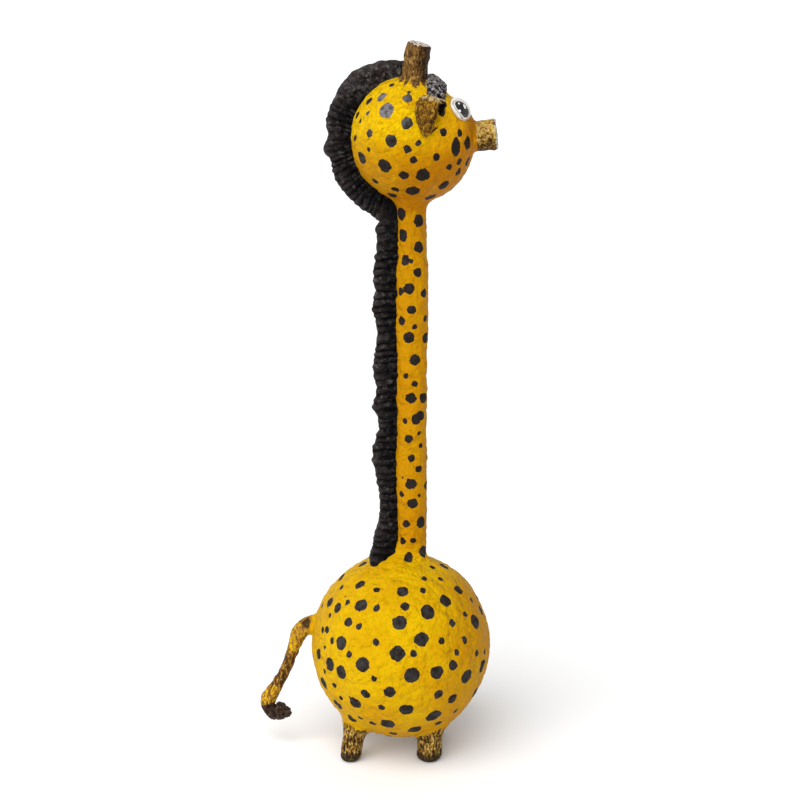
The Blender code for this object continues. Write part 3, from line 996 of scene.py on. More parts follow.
class Paint(Nodes):
    """A painted finish: one material, and the patterns that it is made of."""

    def __init__(self, name: str, specular: float = 0.5, sheen_tint: Colour = (1.0, 1.0, 1.0)) -> None:
        """Start a material.

        Args:
            name: The material's name.
            specular: The paint's specular level, the same all over.
            sheen_tint: The tint of its reflections, the same all over.
        """
        self.material = bpy.data.materials.new(name)
        self.material.use_nodes = True
        super().__init__(self.material.node_tree)
        self.shader = self.tree.nodes["Principled BSDF"]
        self.shader.inputs["Specular IOR Level"].default_value = specular
        self.shader.inputs["Specular Tint"].default_value = (*sheen_tint, 1.0)
        self.place = Tone(self, self.node("ShaderNodeTexCoord").outputs["Object"])
        self.clouds: dict[Noise, Tone] = {}

    def noted(self, name: str) -> Tone:
        """A number kept at the mesh's points."""
        return Tone(self, self.node("ShaderNodeAttribute", {"attribute_name": name}).outputs["Fac"])

    def cloud(self, pattern: Noise) -> Tone:
        """Uneven noise from 0 to 1, made once for each pattern.

        Args:
            pattern: What the noise is like.

        Returns:
            The noise.
        """
        if pattern not in self.clouds:
            place = self.place
            if pattern.notes:
                axes = dict(zip("XY", map(self.noted, pattern.notes)))
                place = Tone(self, self.node("ShaderNodeCombineXYZ", None, axes).outputs[0])
            if pattern.stretch:
                inputs = {"Vector": place, "Rotation": pattern.turn, "Scale": pattern.stretch}
                place = Tone(self, self.node("ShaderNodeMapping", None, inputs).outputs["Vector"])
            inputs = {"Vector": place, "Scale": pattern.scale, "Detail": pattern.detail}
            inputs |= {"Roughness": pattern.rough, "Distortion": pattern.bend}
            tone = Tone(self, self.node("ShaderNodeTexNoise", None, inputs).outputs[0])
            self.clouds[pattern] = tone.rise(*pattern.edge) if pattern.edge else tone
        return self.clouds[pattern]

    def blend(self, share: Tone | float, low: Tone | Colour, high: Tone | Colour) -> Tone:
        """Mix two colours.

        Args:
            share: How much of the second there is.
            low: The first colour.
            high: The second colour.

        Returns:
            The mixed colour.
        """
        settings = {"data_type": "RGBA", "blend_type": "MIX", "clamp_factor": True}
        node = self.node("ShaderNodeMix", settings, {0: share, 6: low, 7: high})
        return Tone(self, node.outputs[2])

    def graded(self, share: Tone, stops: Stops) -> Tone:
        """A colour read from stops by a number."""
        return Tone(self, self.node("ShaderNodeValToRGB", {"stops": stops}, {"Fac": share}).outputs["Color"])

    def brush(self, base: Tone, coat: Coat) -> Tone:
        """Brush a coat over the colour so far."""
        cover = self.cloud(coat.pattern) * coat.cover
        return self.blend(self.noted(coat.note) * cover if coat.note else cover, base, coat.colour)

    def lay(self, colour: Tone, roughness: "Tone | float", *heights: tuple[Tone, float]) -> None:
        """Join colour, roughness and raised texture to the shader.

        Args:
            colour: The paint's colour.
            roughness: The paint's roughness.
            *heights: Raised textures, each a number from 0 to 1 and its height in metres.
        """
        self.feed(self.shader.inputs["Base Color"], colour)
        self.feed(self.shader.inputs["Roughness"], roughness)
        normal: Tone | None = None
        for tone, height in heights:
            inputs = {"Strength": 1.0, "Distance": height, "Height": tone}
            if normal:
                inputs["Normal"] = normal
            normal = Tone(self, self.node("ShaderNodeBump", None, inputs).outputs["Normal"])
        if normal:
            self.feed(self.shader.inputs["Normal"], normal)


class SkinPaint(Paint):
    """Yellow paint over pasted paper, charcoal spots, and brown brushed horns, snout, legs and tail."""

    BRIGHT: Colour = (0.720, 0.470, 0.0008)
    LEMON: Colour = (0.600, 0.372, 0.0006)
    GOLD: Colour = (0.530, 0.280, 0.0004)
    ORANGE: Colour = (0.400, 0.150, 0.0003)
    AMBER: Colour = (0.930, 0.480, 0.0010)
    STRAW: Colour = (0.560, 0.410, 0.120)
    OCHRE: Colour = (0.330, 0.185, 0.028)
    BROWN: Colour = (0.120, 0.058, 0.014)
    DARK_BROWN: Colour = (0.030, 0.015, 0.007)
    SOOT: Colour = (0.012, 0.009, 0.008)
    CHARCOAL: Colour = (0.032, 0.029, 0.031)
    DUST: Colour = (0.195, 0.176, 0.186)
    CREAM: Colour = (0.62, 0.56, 0.50)
    SHEEN: Colour = (1.0, 0.80, 0.34)

    # Paper and varnish under all the colours
    SPECULAR = 0.08
    CRUMPLE = Noise(165.0, 2.5, bend=0.25)
    PAPER, PAPER_DEPTH = Noise(64.0, 2.5, 0.5), 0.0100
    TOOTH, TOOTH_DEPTH = Noise(400.0, 2.0), 0.0009
    WRINKLE_DEPTH, WRINKLES, LIT_WRINKLES, WARM_WRINKLES = 0.0035, 0.54, 0.7, 0.16
    SHINE, ROUGHNESS, ROUGHER = Noise(90.0, 2.0), 0.50, 0.16

    # Yellow, lighter on the head's top and beside the ear as painted light
    BROAD = Noise(16.0, rough=0.6, edge=(0.36, 0.66))
    YELLOWS = (
        # Lighter yellow on the head's top, where it faces the light: painted light
        Coat(BRIGHT, Noise(60.0, edge=(0.20, 0.60)), "bright", 0.75),
        Coat(GOLD, Noise(100.0, 4.0, 0.65, stretch=(1.0, 1.0, 2.2), edge=(0.42, 0.70)), None, 0.5),
        # Orange-gold beside the ear, made light to offset the ear's shadow: orange paint and painted light
        Coat(AMBER, Noise(70.0, edge=(0.15, 0.50)), "cheek", 0.85),
    )
    # Orange in the creases: glaze, and painted shade that deepens the relief
    CREASE_EDGE, CREASES, LIT_CREASES = (0.32, 0.54), 0.18, 0.20
    # Orange glaze, and painted shade low on the body, on its front side and under the head
    GLAZE = Coat(ORANGE, Noise(75.0, 4.0, 0.60, edge=(0.17, 0.44)), "warm")

    # Spots
    WOBBLE, WOBBLE_REACH = Noise(105.0, 1.0), 0.0052
    BRISTLES, BRISTLE_REACH = Noise(330.0, 2.0), 0.0024
    SPOT_EDGE = (-0.00052, 0.00008)
    INK_PATCHES = Noise(120.0, edge=(0.35, 0.65))
    # Ink is darker where the skin's glaze and painted shade lie
    INK_WARM, INK_WARM_SHARE = (0.50, 0.80), 0.75
    # Grey on spots that face up and towards the light: painted sheen
    DUSTING = Coat(DUST, Noise(160.0, edge=(0.20, 0.60)), "dust")

    # Brushed zones
    GATE = (0.0, 0.08)
    GRAIN = Noise(330.0, rough=0.66, bend=0.5, stretch=(1.0, 1.0, 0.42))
    LEG_TONGUES = Noise(190.0, 2.0, 0.5, stretch=(1.0, 1.0, 0.22))
    HORN_TONGUES = Noise(330.0, 2.0, 0.5, stretch=(1.0, 0.001, 1.0), notes=("around", "horn"))
    MOTTLE = Noise(240.0, rough=0.68, bend=0.7)
    TAIL_GRAIN = Noise(270.0, rough=0.62, bend=0.9, stretch=(1.0, 1.0, 0.42))
    SPECK = Noise(250.0, 4.0, 0.72, 0.9)
    LEG_STOPS: Stops = ((0.33, SOOT), (0.41, DARK_BROWN), (0.48, BROWN), (0.55, OCHRE), (0.62, STRAW))
    TOE_STOPS: Stops = ((0.0, SOOT), (1.0, SOOT))
    TAIL_STOPS: Stops = (
        (0.30, (0.045, 0.022, 0.010)), (0.38, BROWN), (0.45, (0.260, 0.120, 0.016)),
        (0.53, (0.42, 0.22, 0.020)), (0.61, LEMON),
    )
    TAIL_END_STOPS: Stops = ((0.44, SOOT), (0.60, (0.060, 0.030, 0.020)))
    SNOUT_STOPS: Stops = ((0.33, DARK_BROWN), (0.40, BROWN), (0.46, OCHRE), (0.54, (0.60, 0.40, 0.12)))
    HORN_STOPS: Stops = (
        (0.28, (0.022, 0.011, 0.006)), (0.40, (0.080, 0.038, 0.014)), (0.49, (0.165, 0.082, 0.024)),
        (0.57, (0.270, 0.150, 0.035)), (0.68, STRAW),
    )
    CUT_STOPS: Stops = ((0.38, DARK_BROWN), (0.44, (0.40, 0.32, 0.26)), (0.52, CREAM))
    ZONES = (
        Zone("leg", (0.40, 0.60), ((LEG_TONGUES, -1.8), (GRAIN, -1.2)), GRAIN, LEG_STOPS, 0.010),
        Zone("toe", (0.45, 0.75), ((MOTTLE, 1.2),), MOTTLE, TOE_STOPS, cover=0.85),
        Zone("tail", (0.35, 0.60), ((TAIL_GRAIN, 2.2),), TAIL_GRAIN, TAIL_STOPS, shade=("tail_dark", 0.165)),
        Zone("tail_end", (0.42, 0.60), ((MOTTLE, 1.8),), MOTTLE, TAIL_END_STOPS),
        Zone("snout", (0.35, 0.60), ((SPECK, 1.0),), SPECK, SNOUT_STOPS, shade=("low", 0.145)),
        Zone(
            "horn", (0.34, 0.62), ((HORN_TONGUES, -2.3), (GRAIN, -0.4)), GRAIN, HORN_STOPS, 0.025,
            ("front", 0.20),
        ),
        Zone("cut_end", (0.45, 0.60), ((SPECK, 0.5),), SPECK, CUT_STOPS),
    )

    def __init__(self) -> None:
        """Build the finish."""
        super().__init__("yellow_spotted_paint", self.SPECULAR, self.SHEEN)
        colour = self.spots(self.yellow())
        for zone in self.ZONES:
            colour = self.brushed(colour, zone)
        depth = self.noted("bright") * self.LIT_WRINKLES + self.WRINKLES
        depth = depth - self.noted("warm") * self.WARM_WRINKLES
        self.lay(
            colour,
            self.cloud(self.SHINE) * self.ROUGHER + self.ROUGHNESS,
            (self.cloud(self.PAPER), self.PAPER_DEPTH),
            (self.cloud(self.CRUMPLE) * depth, self.WRINKLE_DEPTH),
            (self.cloud(self.TOOTH), self.TOOTH_DEPTH),
        )

    def yellow(self) -> Tone:
        """Yellow, with brush marks, golden patches, painted light on the head's top and beside the ear, and
        orange in the creases that is glaze and painted shade.

        Returns:
            The colour.
        """
        colour = self.blend(self.cloud(self.BROAD), self.LEMON, self.GOLD)
        for coat in self.YELLOWS:
            colour = self.brush(colour, coat)
        # Orange in the creases of the crumples: glaze and painted shade
        crease_shade = 1.0 - self.cloud(self.CRUMPLE).rise(*self.CREASE_EDGE)
        share = crease_shade * (self.noted("bright") * self.LIT_CREASES + self.CREASES)
        return self.brush(self.blend(share, colour, self.ORANGE), self.GLAZE)

    def spots(self, base: Tone) -> Tone:
        """Charcoal spots with brushed edges, a grey painted sheen where they face the light, and darker ink
        where the skin has painted shade.

        Args:
            base: The colour so far.

        Returns:
            The colour with the spots.
        """
        wobble = (self.cloud(self.WOBBLE) - 0.5) * self.WOBBLE_REACH
        bristles = (self.cloud(self.BRISTLES) - 0.5) * self.BRISTLE_REACH
        mask = (self.noted("spot") + wobble + bristles).rise(*self.SPOT_EDGE)
        # Darker ink where the glaze and painted shade lie
        warm = self.noted("warm").rise(*self.INK_WARM) * self.INK_WARM_SHARE
        ink = self.blend(self.cloud(self.INK_PATCHES) * (1.0 - warm), self.SOOT, self.CHARCOAL)
        # Painted sheen over the ink
        return self.blend(mask, base, self.brush(ink, self.DUSTING))

    def brushed(self, base: Tone, zone: Zone) -> Tone:
        """Brush a zone's colours over other paint, nowhere that its note is nil.

        Args:
            base: The colour so far.
            zone: The zone.

        Returns:
            The colour with the zone.
        """
        note = edge = self.noted(zone.note)
        for pattern, reach in zone.wander:
            edge = edge + (self.cloud(pattern) - 0.5) * reach
        pick = self.cloud(zone.pattern) - zone.darker
        if zone.shade:
            pick = pick - self.noted(zone.shade[0]) * zone.shade[1]
        cover = edge.rise(*zone.edge) * note.rise(*self.GATE) * zone.cover
        return self.blend(cover, base, self.graded(pick, zone.stops))


class ManePaint(Paint):
    """Black paint over crimped paper, a little shiny on its edges, with painted highlights on its crests and
    on faces that look up, and painted shade in its folds and at its root.
    """

    # Black in the folds is painted shade, and the lighter crest colour is painted highlight
    BLACK: Colour = (0.0007, 0.0006, 0.0007)
    CREST: Colour = (0.0330, 0.0260, 0.0270)
    RUST: Colour = (0.030, 0.017, 0.014)
    # Grey on faces that look up: painted sheen
    ASH: Colour = (0.070, 0.060, 0.058)
    FLECK_TINT: Colour = (1.0, 0.93, 0.90)
    SPECULAR = 0.07
    CREST_EDGE = (0.30, 0.95)
    RUST_PATCHES, RUST_COVER = Noise(60.0, edge=(0.45, 0.70)), 0.4
    ASH_EDGE, ASH_COVER = (0.36, 0.60), 0.5
    FLECK_START, FLECK_FULL, GRAIN_EDGE, FLECK_COVER = (0.50, -0.07), (0.66, -0.10), (0.40, 0.60), 0.36
    ROUGHNESS, ROUGHER = 0.34, 0.20
    CRUMPLE_DEPTH, GRAIN_DEPTH = 0.0060, 0.0016

    def __init__(
        self, name: str = "black_mane_paint", dust: float = 0.0, fleck: float = 0.24, fineness: float = 1.0
    ) -> None:
        """Build the finish.

        Args:
            name: The material's name.
            dust: How grey the raised grain is, as painted sheen.
            fleck: How light its flecks are.
            fineness: How many times finer its grain is than the mane's.
        """
        super().__init__(name, self.SPECULAR)
        grain = self.cloud(Noise(330.0 * fineness, 4.0, 0.65))
        crumple = self.cloud(Noise(130.0 * fineness, 4.0, 0.65, 0.7))
        crest, sheen_share = self.noted("crest"), self.noted("dust")
        # Black in the valleys and at the root, lighter on the crests: painted shade and painted highlight
        colour = self.blend(crest.rise(*self.CREST_EDGE), self.BLACK, self.CREST)
        colour = self.blend(self.cloud(self.RUST_PATCHES) * crest * self.RUST_COVER, colour, self.RUST)
        # Grey on raised crumples that face up: painted sheen
        colour = self.blend(sheen_share * crumple.rise(*self.ASH_EDGE) * self.ASH_COVER, colour, self.ASH)
        start, full = (at + more * dust for at, more in (self.FLECK_START, self.FLECK_FULL))
        # Light flecks on crests and faces that look up: worn paint and painted highlights
        worn_and_lit = (crest + sheen_share) * crumple.rise(start, full) * grain.rise(*self.GRAIN_EDGE)
        flecks = tuple(fleck * part for part in self.FLECK_TINT)
        self.lay(
            self.blend(worn_and_lit * (self.FLECK_COVER + dust), colour, flecks),
            grain * self.ROUGHER + self.ROUGHNESS,
            (crumple, self.CRUMPLE_DEPTH / fineness),
            (grain, self.GRAIN_DEPTH / fineness),
        )


class EarPaint(Paint):
    """Brown and gold brushed over wrinkled paper, lighter towards the top and pale on the fold as painted
    light, and dark inside.
    """

    SHEEN: Colour = (1.0, 0.82, 0.50)
    SHADE: Colour = (0.009, 0.007, 0.006)
    SPECULAR, ROUGHNESS = 0.08, 0.60
    WRINKLE, WRINKLE_DEPTH = Noise(135.0, 4.0, 0.66, 1.4, (1.2, 1.2, 0.8), (0.0, 0.6, 0.0)), 0.0060
    TOOTH, TOOTH_DEPTH = Noise(420.0), 0.0014
    # Lighter and more golden towards the top: painted light from above
    GILDING = 0.052
    STOPS: Stops = (
        (0.34, (0.014, 0.008, 0.004)), (0.44, (0.080, 0.034, 0.006)), (0.53, (0.180, 0.080, 0.009)),
        (0.62, (0.400, 0.200, 0.018)), (0.74, (0.600, 0.390, 0.050)),
    )
    # Pale on the fold, where it faces the light: painted highlight
    FOLD_STOPS: Stops = ((0.38, (0.12, 0.065, 0.02)), (0.48, (0.38, 0.24, 0.07)), (0.58, (0.60, 0.46, 0.25)))
    FOLD_EDGE, FOLD_COVER = (0.45, 0.70), 0.9

    def __init__(self) -> None:
        """Build the finish."""
        super().__init__("brown_ear_paint", self.SPECULAR, self.SHEEN)
        wrinkle = self.cloud(self.WRINKLE)
        # Lighter towards the top: painted light
        colour = self.graded(wrinkle + self.noted("gilt") * self.GILDING, self.STOPS)
        # Pale on the fold: painted highlight
        fold = (self.noted("fold") + wrinkle - 0.5).rise(*self.FOLD_EDGE) * self.FOLD_COVER
        colour = self.blend(fold, colour, self.graded(wrinkle, self.FOLD_STOPS))
        colour = self.blend(self.noted("hollow"), colour, self.SHADE)
        tooth = self.cloud(self.TOOTH)
        self.lay(colour, self.ROUGHNESS, (wrinkle, self.WRINKLE_DEPTH), (tooth, self.TOOTH_DEPTH))


class EyePaint(Paint):
    """White and black gloss paint: a black oval with white glints, a grey line round it, and painted shade
    where the dome meets the head.
    """

    WHITE: Colour = (0.76, 0.74, 0.70)
    AGED_WHITE: Colour = (0.60, 0.56, 0.50)
    GREY_LINE: Colour = (0.12, 0.115, 0.115)
    # Brown where the dome meets the head: painted shade at the joint
    RIM: Colour = (0.36, 0.25, 0.12)
    BLACK: Colour = (0.010, 0.009, 0.010)
    GLINT: Colour = (0.80, 0.79, 0.77)
    SPECULAR, ROUGHNESS, VARNISH = 0.4, 0.22, 0.4
    SHAKE, SHAKE_REACH = Noise(500.0, 2.0), 0.0006
    AGEING = Noise(170.0, edge=(0.35, 0.7))
    LINE_AWAY, LINE_EDGE, LINE_COVER = 0.0011, (0.00025, 0.00060), 0.75
    SHARP_EDGE = (-0.0002, 0.0002)
    DENTS, DENT_DEPTH = Noise(140.0, 2.0), 0.0012

    def __init__(self) -> None:
        """Build the finish."""
        super().__init__("varnished_eye_paint", self.SPECULAR)
        uneven = (self.cloud(self.SHAKE) - 0.5) * self.SHAKE_REACH
        pupil = self.noted("pupil") + uneven
        ring = 1.0 - abs(pupil + self.LINE_AWAY).rise(*self.LINE_EDGE)
        colour = self.blend(self.cloud(self.AGEING), self.WHITE, self.AGED_WHITE)
        colour = self.blend(ring * self.LINE_COVER, colour, self.GREY_LINE)
        # Painted shade where the dome meets the head
        colour = self.blend(self.noted("rim"), colour, self.RIM)
        colour = self.blend(pupil.rise(*self.SHARP_EDGE), colour, self.BLACK)
        colour = self.blend((self.noted("glint") + uneven).rise(*self.SHARP_EDGE), colour, self.GLINT)
        self.lay(colour, self.ROUGHNESS, (self.cloud(self.DENTS), self.DENT_DEPTH))
        self.shader.inputs["Coat Weight"].default_value = self.VARNISH


class TuftPaint(Paint):
    """Black-brown paint over crumpled paper."""

    SPECULAR, ROUGHNESS = 0.2, 0.48
    CRUMPLE, CRUMPLE_DEPTH = Noise(240.0, 4.0, 0.68, 0.8), 0.0035
    STOPS: Stops = (
        (0.40, (0.006, 0.005, 0.005)), (0.52, (0.036, 0.017, 0.010)), (0.68, (0.190, 0.095, 0.050)),
    )

    def __init__(self) -> None:
        """Build the finish."""
        super().__init__("black_tuft_paint", self.SPECULAR)
        crumple = self.cloud(self.CRUMPLE)
        self.lay(self.graded(crumple, self.STOPS), self.ROUGHNESS, (crumple, self.CRUMPLE_DEPTH))


class Patch(NamedTuple):
    """Part of a mark on the skin: a share, times a ramp over each named measure of the skin."""

    share: float
    ramps: tuple[tuple[str, float, float], ...]


ON_SNOUT = (("off_snout", 0.004, 0.001), ("off_head", 0.0, 0.007))
ON_LEG = ("off_leg", 0.006, 0.002)
ON_TAIL = (("off_tail", 0.005, 0.002), ("off_body", 0.0, 0.10))
ON_CHIN = (("z", 0.790, 0.815), ("z", 0.920, 0.845))
SHEEN = ("sheen", 0.875, 0.995)
# Marks that the skin's paint reads, each the sum of its patches, over the measures that Skin takes
SKIN_MARKS: dict[str, tuple[Patch, ...]] = {
    "snout": (Patch(1.0, ON_SNOUT),),
    "cut_end": (Patch(1.0, (*ON_SNOUT, ("rim_depth", -0.0022, -0.0008), ("rim_across", 0.0145, 0.0165))),),
    "low": (Patch(1.0, (("facing_up", 0.3, -0.8),)),),
    "front": (Patch(1.0, (("facing_ahead", -0.20, 0.90),)),),
    "leg": (Patch(1.0, (ON_LEG, ("z", 0.074, 0.038))),),
    "toe": (Patch(1.0, (ON_LEG, ("z", 0.026, 0.008))),),
    "tail": (Patch(1.0, ON_TAIL),),
    "tail_end": (Patch(1.0, (*ON_TAIL, ("tail_end_depth", -0.0715, -0.0655))),),
    "tail_dark": (
        Patch(1.3, (("from_elbow", 0.014, 0.003),)),
        Patch(0.80, (("z", 0.088, 0.105), ("z", 0.160, 0.140))),
    ),
    # The head's top where it faces the light: painted light
    "bright": (Patch(1.0, (("z", 0.865, 0.915), ("facing_light", -0.6, 0.3))),),
    # Beside the ear, lighter to offset the ear's shadow: orange paint and painted light
    "cheek": (Patch(1.0, (("x", 0.070, 0.098), ("z", 0.850, 0.885), ("z", 0.945, 0.920))),),
    # Spots that face up and towards the light: painted sheen
    "dust": (Patch(0.06, (SHEEN,)), Patch(0.94, (SHEEN, ("z", 0.84, 0.91)))),
    # Orange glaze near the snout, at the horns' feet and on the neck; painted shade low on the body, on its
    # front side and under the head
    "warm": (
        Patch(0.68, (("from_snout", 0.066, 0.024),)),
        Patch(0.60, (("off_head", 0.0004, 0.006), ("z", 0.93, 0.95))),
        Patch(0.72, (("z", 0.29, 0.33), ("z", 0.83, 0.80))),
        Patch(0.45, (("z", 0.15, 0.0),)),
        Patch(0.65, (("x", 0.06, 0.17),)),
        Patch(0.74, ON_CHIN),
        Patch(0.26, (*ON_CHIN, ("x", 0.020, 0.070))),
    ),
}


@dataclass
class Skin:
    """The papier-mache skin: body, neck, head, snout, horns, legs and tail in one piece."""

    view: ViewPoint
    shape: StatueShape = field(default_factory=StatueShape)
    voxel: float = 0.0026
    unevenness: tuple[Relief, Relief] = (
        Relief(11, 0.090, 0.022, 0.00055), Relief(12, 0.016, 0.0065, 0.00034, 60),
    )
    sole_height: Span = (0.0, 0.006)
    tail_elbow: Point = (-0.0985, -0.010, 0.1960)
    tail_end_x: float = -0.158
    tail_end_slope: float = 0.35
    light_way: Point = (-0.15, 0.0, 1.0)
    sheen_sides: Point = (0.0, 0.80, 0.0)
    sheen_way: Point = (-0.40, 0.0, 0.45)
    scattered: int = 420
    tries_each: int = 12
    spacing: float = 0.0035
    wider_on_body: float = 1.5
    size_change: Span = (0.85, 1.1)
    on_ball: float = 0.002
    neck_height: Span = (0.31, 0.80)
    turned_away: float = 0.02
    seed: int = 29

    def build(self) -> bpy.types.Object:
        """Shape the skin, mark its painted zones, and paint it.

        Returns:
            The finished piece.
        """
        surface = Surface.from_node("painted_skin", "giraffe_body", self.voxel)
        surface.settle(self.shape.distance)
        self.mark_zones(surface)
        self.mark_spots(surface)
        points = surface.points
        lift = sum(relief.at(points) for relief in self.unevenness)
        surface.swell(lift * ramp(points[:, 2], *self.sole_height))
        return surface.finish(SkinPaint(), Slot.SKIN, ["giraffe_body"])

    def measures(self, points: Array, normals: Array) -> dict[str, Array]:
        """What the skin's marks are measured by.

        Args:
            points: Points of the skin.
            normals: The way it faces there.

        Returns:
            The measures by name, one number for each point.
        """
        shape, snout = self.shape, self.shape.snout
        return {
            "x": points[:, 0],
            "z": points[:, 2],
            "off_head": off_head(points),
            "off_body": off_body(points),
            "off_leg": np.min([leg.distance(points) for leg in shape.legs()], axis=0),
            "off_tail": shape.tail.distance(points),
            "off_snout": snout.distance(points),
            "rim_depth": snout.along(points) - SNOUT_LENGTH,
            "rim_across": snout.across(points),
            "from_snout": np.linalg.norm(points - SNOUT_ROOT, axis=1),
            "from_elbow": np.linalg.norm(points - self.tail_elbow, axis=1),
            "tail_end_depth": self.tail_end_slope * (points[:, 0] - self.tail_end_x) - points[:, 2],
            "facing_ahead": normals[:, 0],
            "facing_up": normals[:, 2],
            "facing_light": normals @ self.light_way,
            "sheen": np.abs(normals) @ self.sheen_sides + normals @ self.sheen_way,
        }

    def mark_zones(self, surface: Surface) -> None:
        """Keep how much each point belongs to every painted zone.

        Args:
            surface: The skin.
        """
        points, normals = surface.points, surface.normals
        measures = self.measures(points, normals)
        marks = {
            name: sum(
                patch.share * math.prod(ramp(measures[measure], *span) for measure, *span in patch.ramps)
                for patch in patches
            )
            for name, patches in SKIN_MARKS.items()
        }
        right, left = (Horn(side).marks(points, normals) for side in Side)
        surface.note(horn=np.maximum(right[0], left[0]), around=right[1] + left[1])
        marks["cut_end"] = np.max([marks["cut_end"], right[2], left[2]], axis=0)
        marks["warm"] = np.minimum(marks["warm"], 1.0)
        surface.note(**marks)

    def mark_spots(self, surface: Surface) -> None:
        """Keep the distance inside the nearest spot's edge, for shown and hidden spots.

        Args:
            surface: The skin.
        """
        points = surface.points
        shown = (*HEAD_SPOTS, *NECK_SPOTS, *BODY_SPOTS, *EAR_SHADOWS)
        centres = self.view.hits(shown, self.shape.distance)
        radii = np.array([spot.radius_mm for spot in shown]) * MILLIMETRE
        hidden, hidden_radii = self.scatter(points, surface.normals, centres, radii)
        tall = [spot.tall for spot in shown] + [1.0] * len(hidden)
        inside = inside_spots(points, np.vstack([centres, hidden]), np.append(radii, hidden_radii), tall)
        surface.note(spot=inside)
        LOG.info("spots: %d that the photograph shows, %d on the hidden side", len(shown), len(hidden))

    def scatter(self, points: Array, normals: Array, shown: Array, radii: Array) -> tuple[Array, Array]:
        """Place spots where the photograph doesn't show the skin.

        Formula: points are drawn at random from the skin that faces away, each with a radius like
        the shown spots', and kept where a gap is left to every spot before it.

        Args:
            points: Points of the skin.
            normals: The way it faces there.
            shown: Centres of the shown spots.
            radii: Their radii.

        Returns:
            Centres and radii of the added spots.
        """
        random = np.random.default_rng(self.seed)
        height = points[:, 2]
        neck_bottom, neck_top = self.neck_height
        away = np.minimum(np.abs(off_head(points)), np.abs(off_body(points)) * BODY_HALVES[0])
        bare = (away < self.on_ball) | ((height > neck_bottom) & (height < neck_top))
        sight = unit(np.array(self.view.place) - points)
        free = np.flatnonzero(((normals * sight).sum(axis=1) < self.turned_away) & bare)
        tries = random.choice(free, self.scattered * self.tries_each)
        sizes = random.choice(radii[: -len(EAR_SHADOWS)], len(tries))
        sizes = sizes * random.uniform(*self.size_change, len(tries))
        centres, kept = list(shown), list(radii)
        for index, size in zip(tries, sizes):
            away = np.linalg.norm(np.array(centres) - points[index], axis=1) - np.array(kept)
            wider = self.wider_on_body if height[index] <= neck_bottom else 1.0
            if away.min() > size + self.spacing * wider:
                centres.append(points[index])
                kept.append(size)
        return np.array(centres[len(shown):]).reshape(-1, 3), np.array(kept[len(radii):])


SECTION_STEPS = 2000


def rounded_section(columns: int, corner: float, height: float, half: float) -> Array:
    """A closed half-oval section: share of the height, and share of the half thickness.

    Formula: sine and cosine of an angle that runs half a turn, each raised to the corner power, and
    spaced evenly along the outline.

    Args:
        columns: How many points it has.
        corner: The power; a smaller one gives flatter sides.
        height: Height of the piece, for the spacing.
        half: Half the piece's thickness, for the spacing.

    Returns:
        The points' two shares, one point to a row.
    """
    angle = np.linspace(0.0, math.pi, SECTION_STEPS)
    share = np.abs(np.sin(angle)) ** corner
    offset = -np.sign(np.cos(angle)) * np.abs(np.cos(angle)) ** corner
    return evenly_spaced(np.column_stack([share, offset]), (height, half), columns)[:, 1:]


def evenly_spaced(curve: Array, scale: Sequence[float], count: int) -> Array:
    """Points at even steps along a curve.

    Args:
        curve: The curve's points, one to a row.
        scale: How much each column counts in the curve's length.
        count: How many points to take.

    Returns:
        Each point's length along the curve, and then its columns.
    """
    steps = np.linalg.norm(np.diff(curve, axis=0) * scale, axis=1)
    along = np.insert(np.cumsum(steps), 0, 0.0)
    even = np.linspace(0.0, along[-1], count)
    return np.column_stack([even, *(np.interp(even, along, column) for column in curve.T)])


def pleats(along: Array, pitch: float) -> Array:
    """Depth of gathered folds, 0 on a round crest and 1 in a sharp valley: 1 - |sin|."""
    return 1.0 - np.abs(np.sin(math.pi * along / pitch))


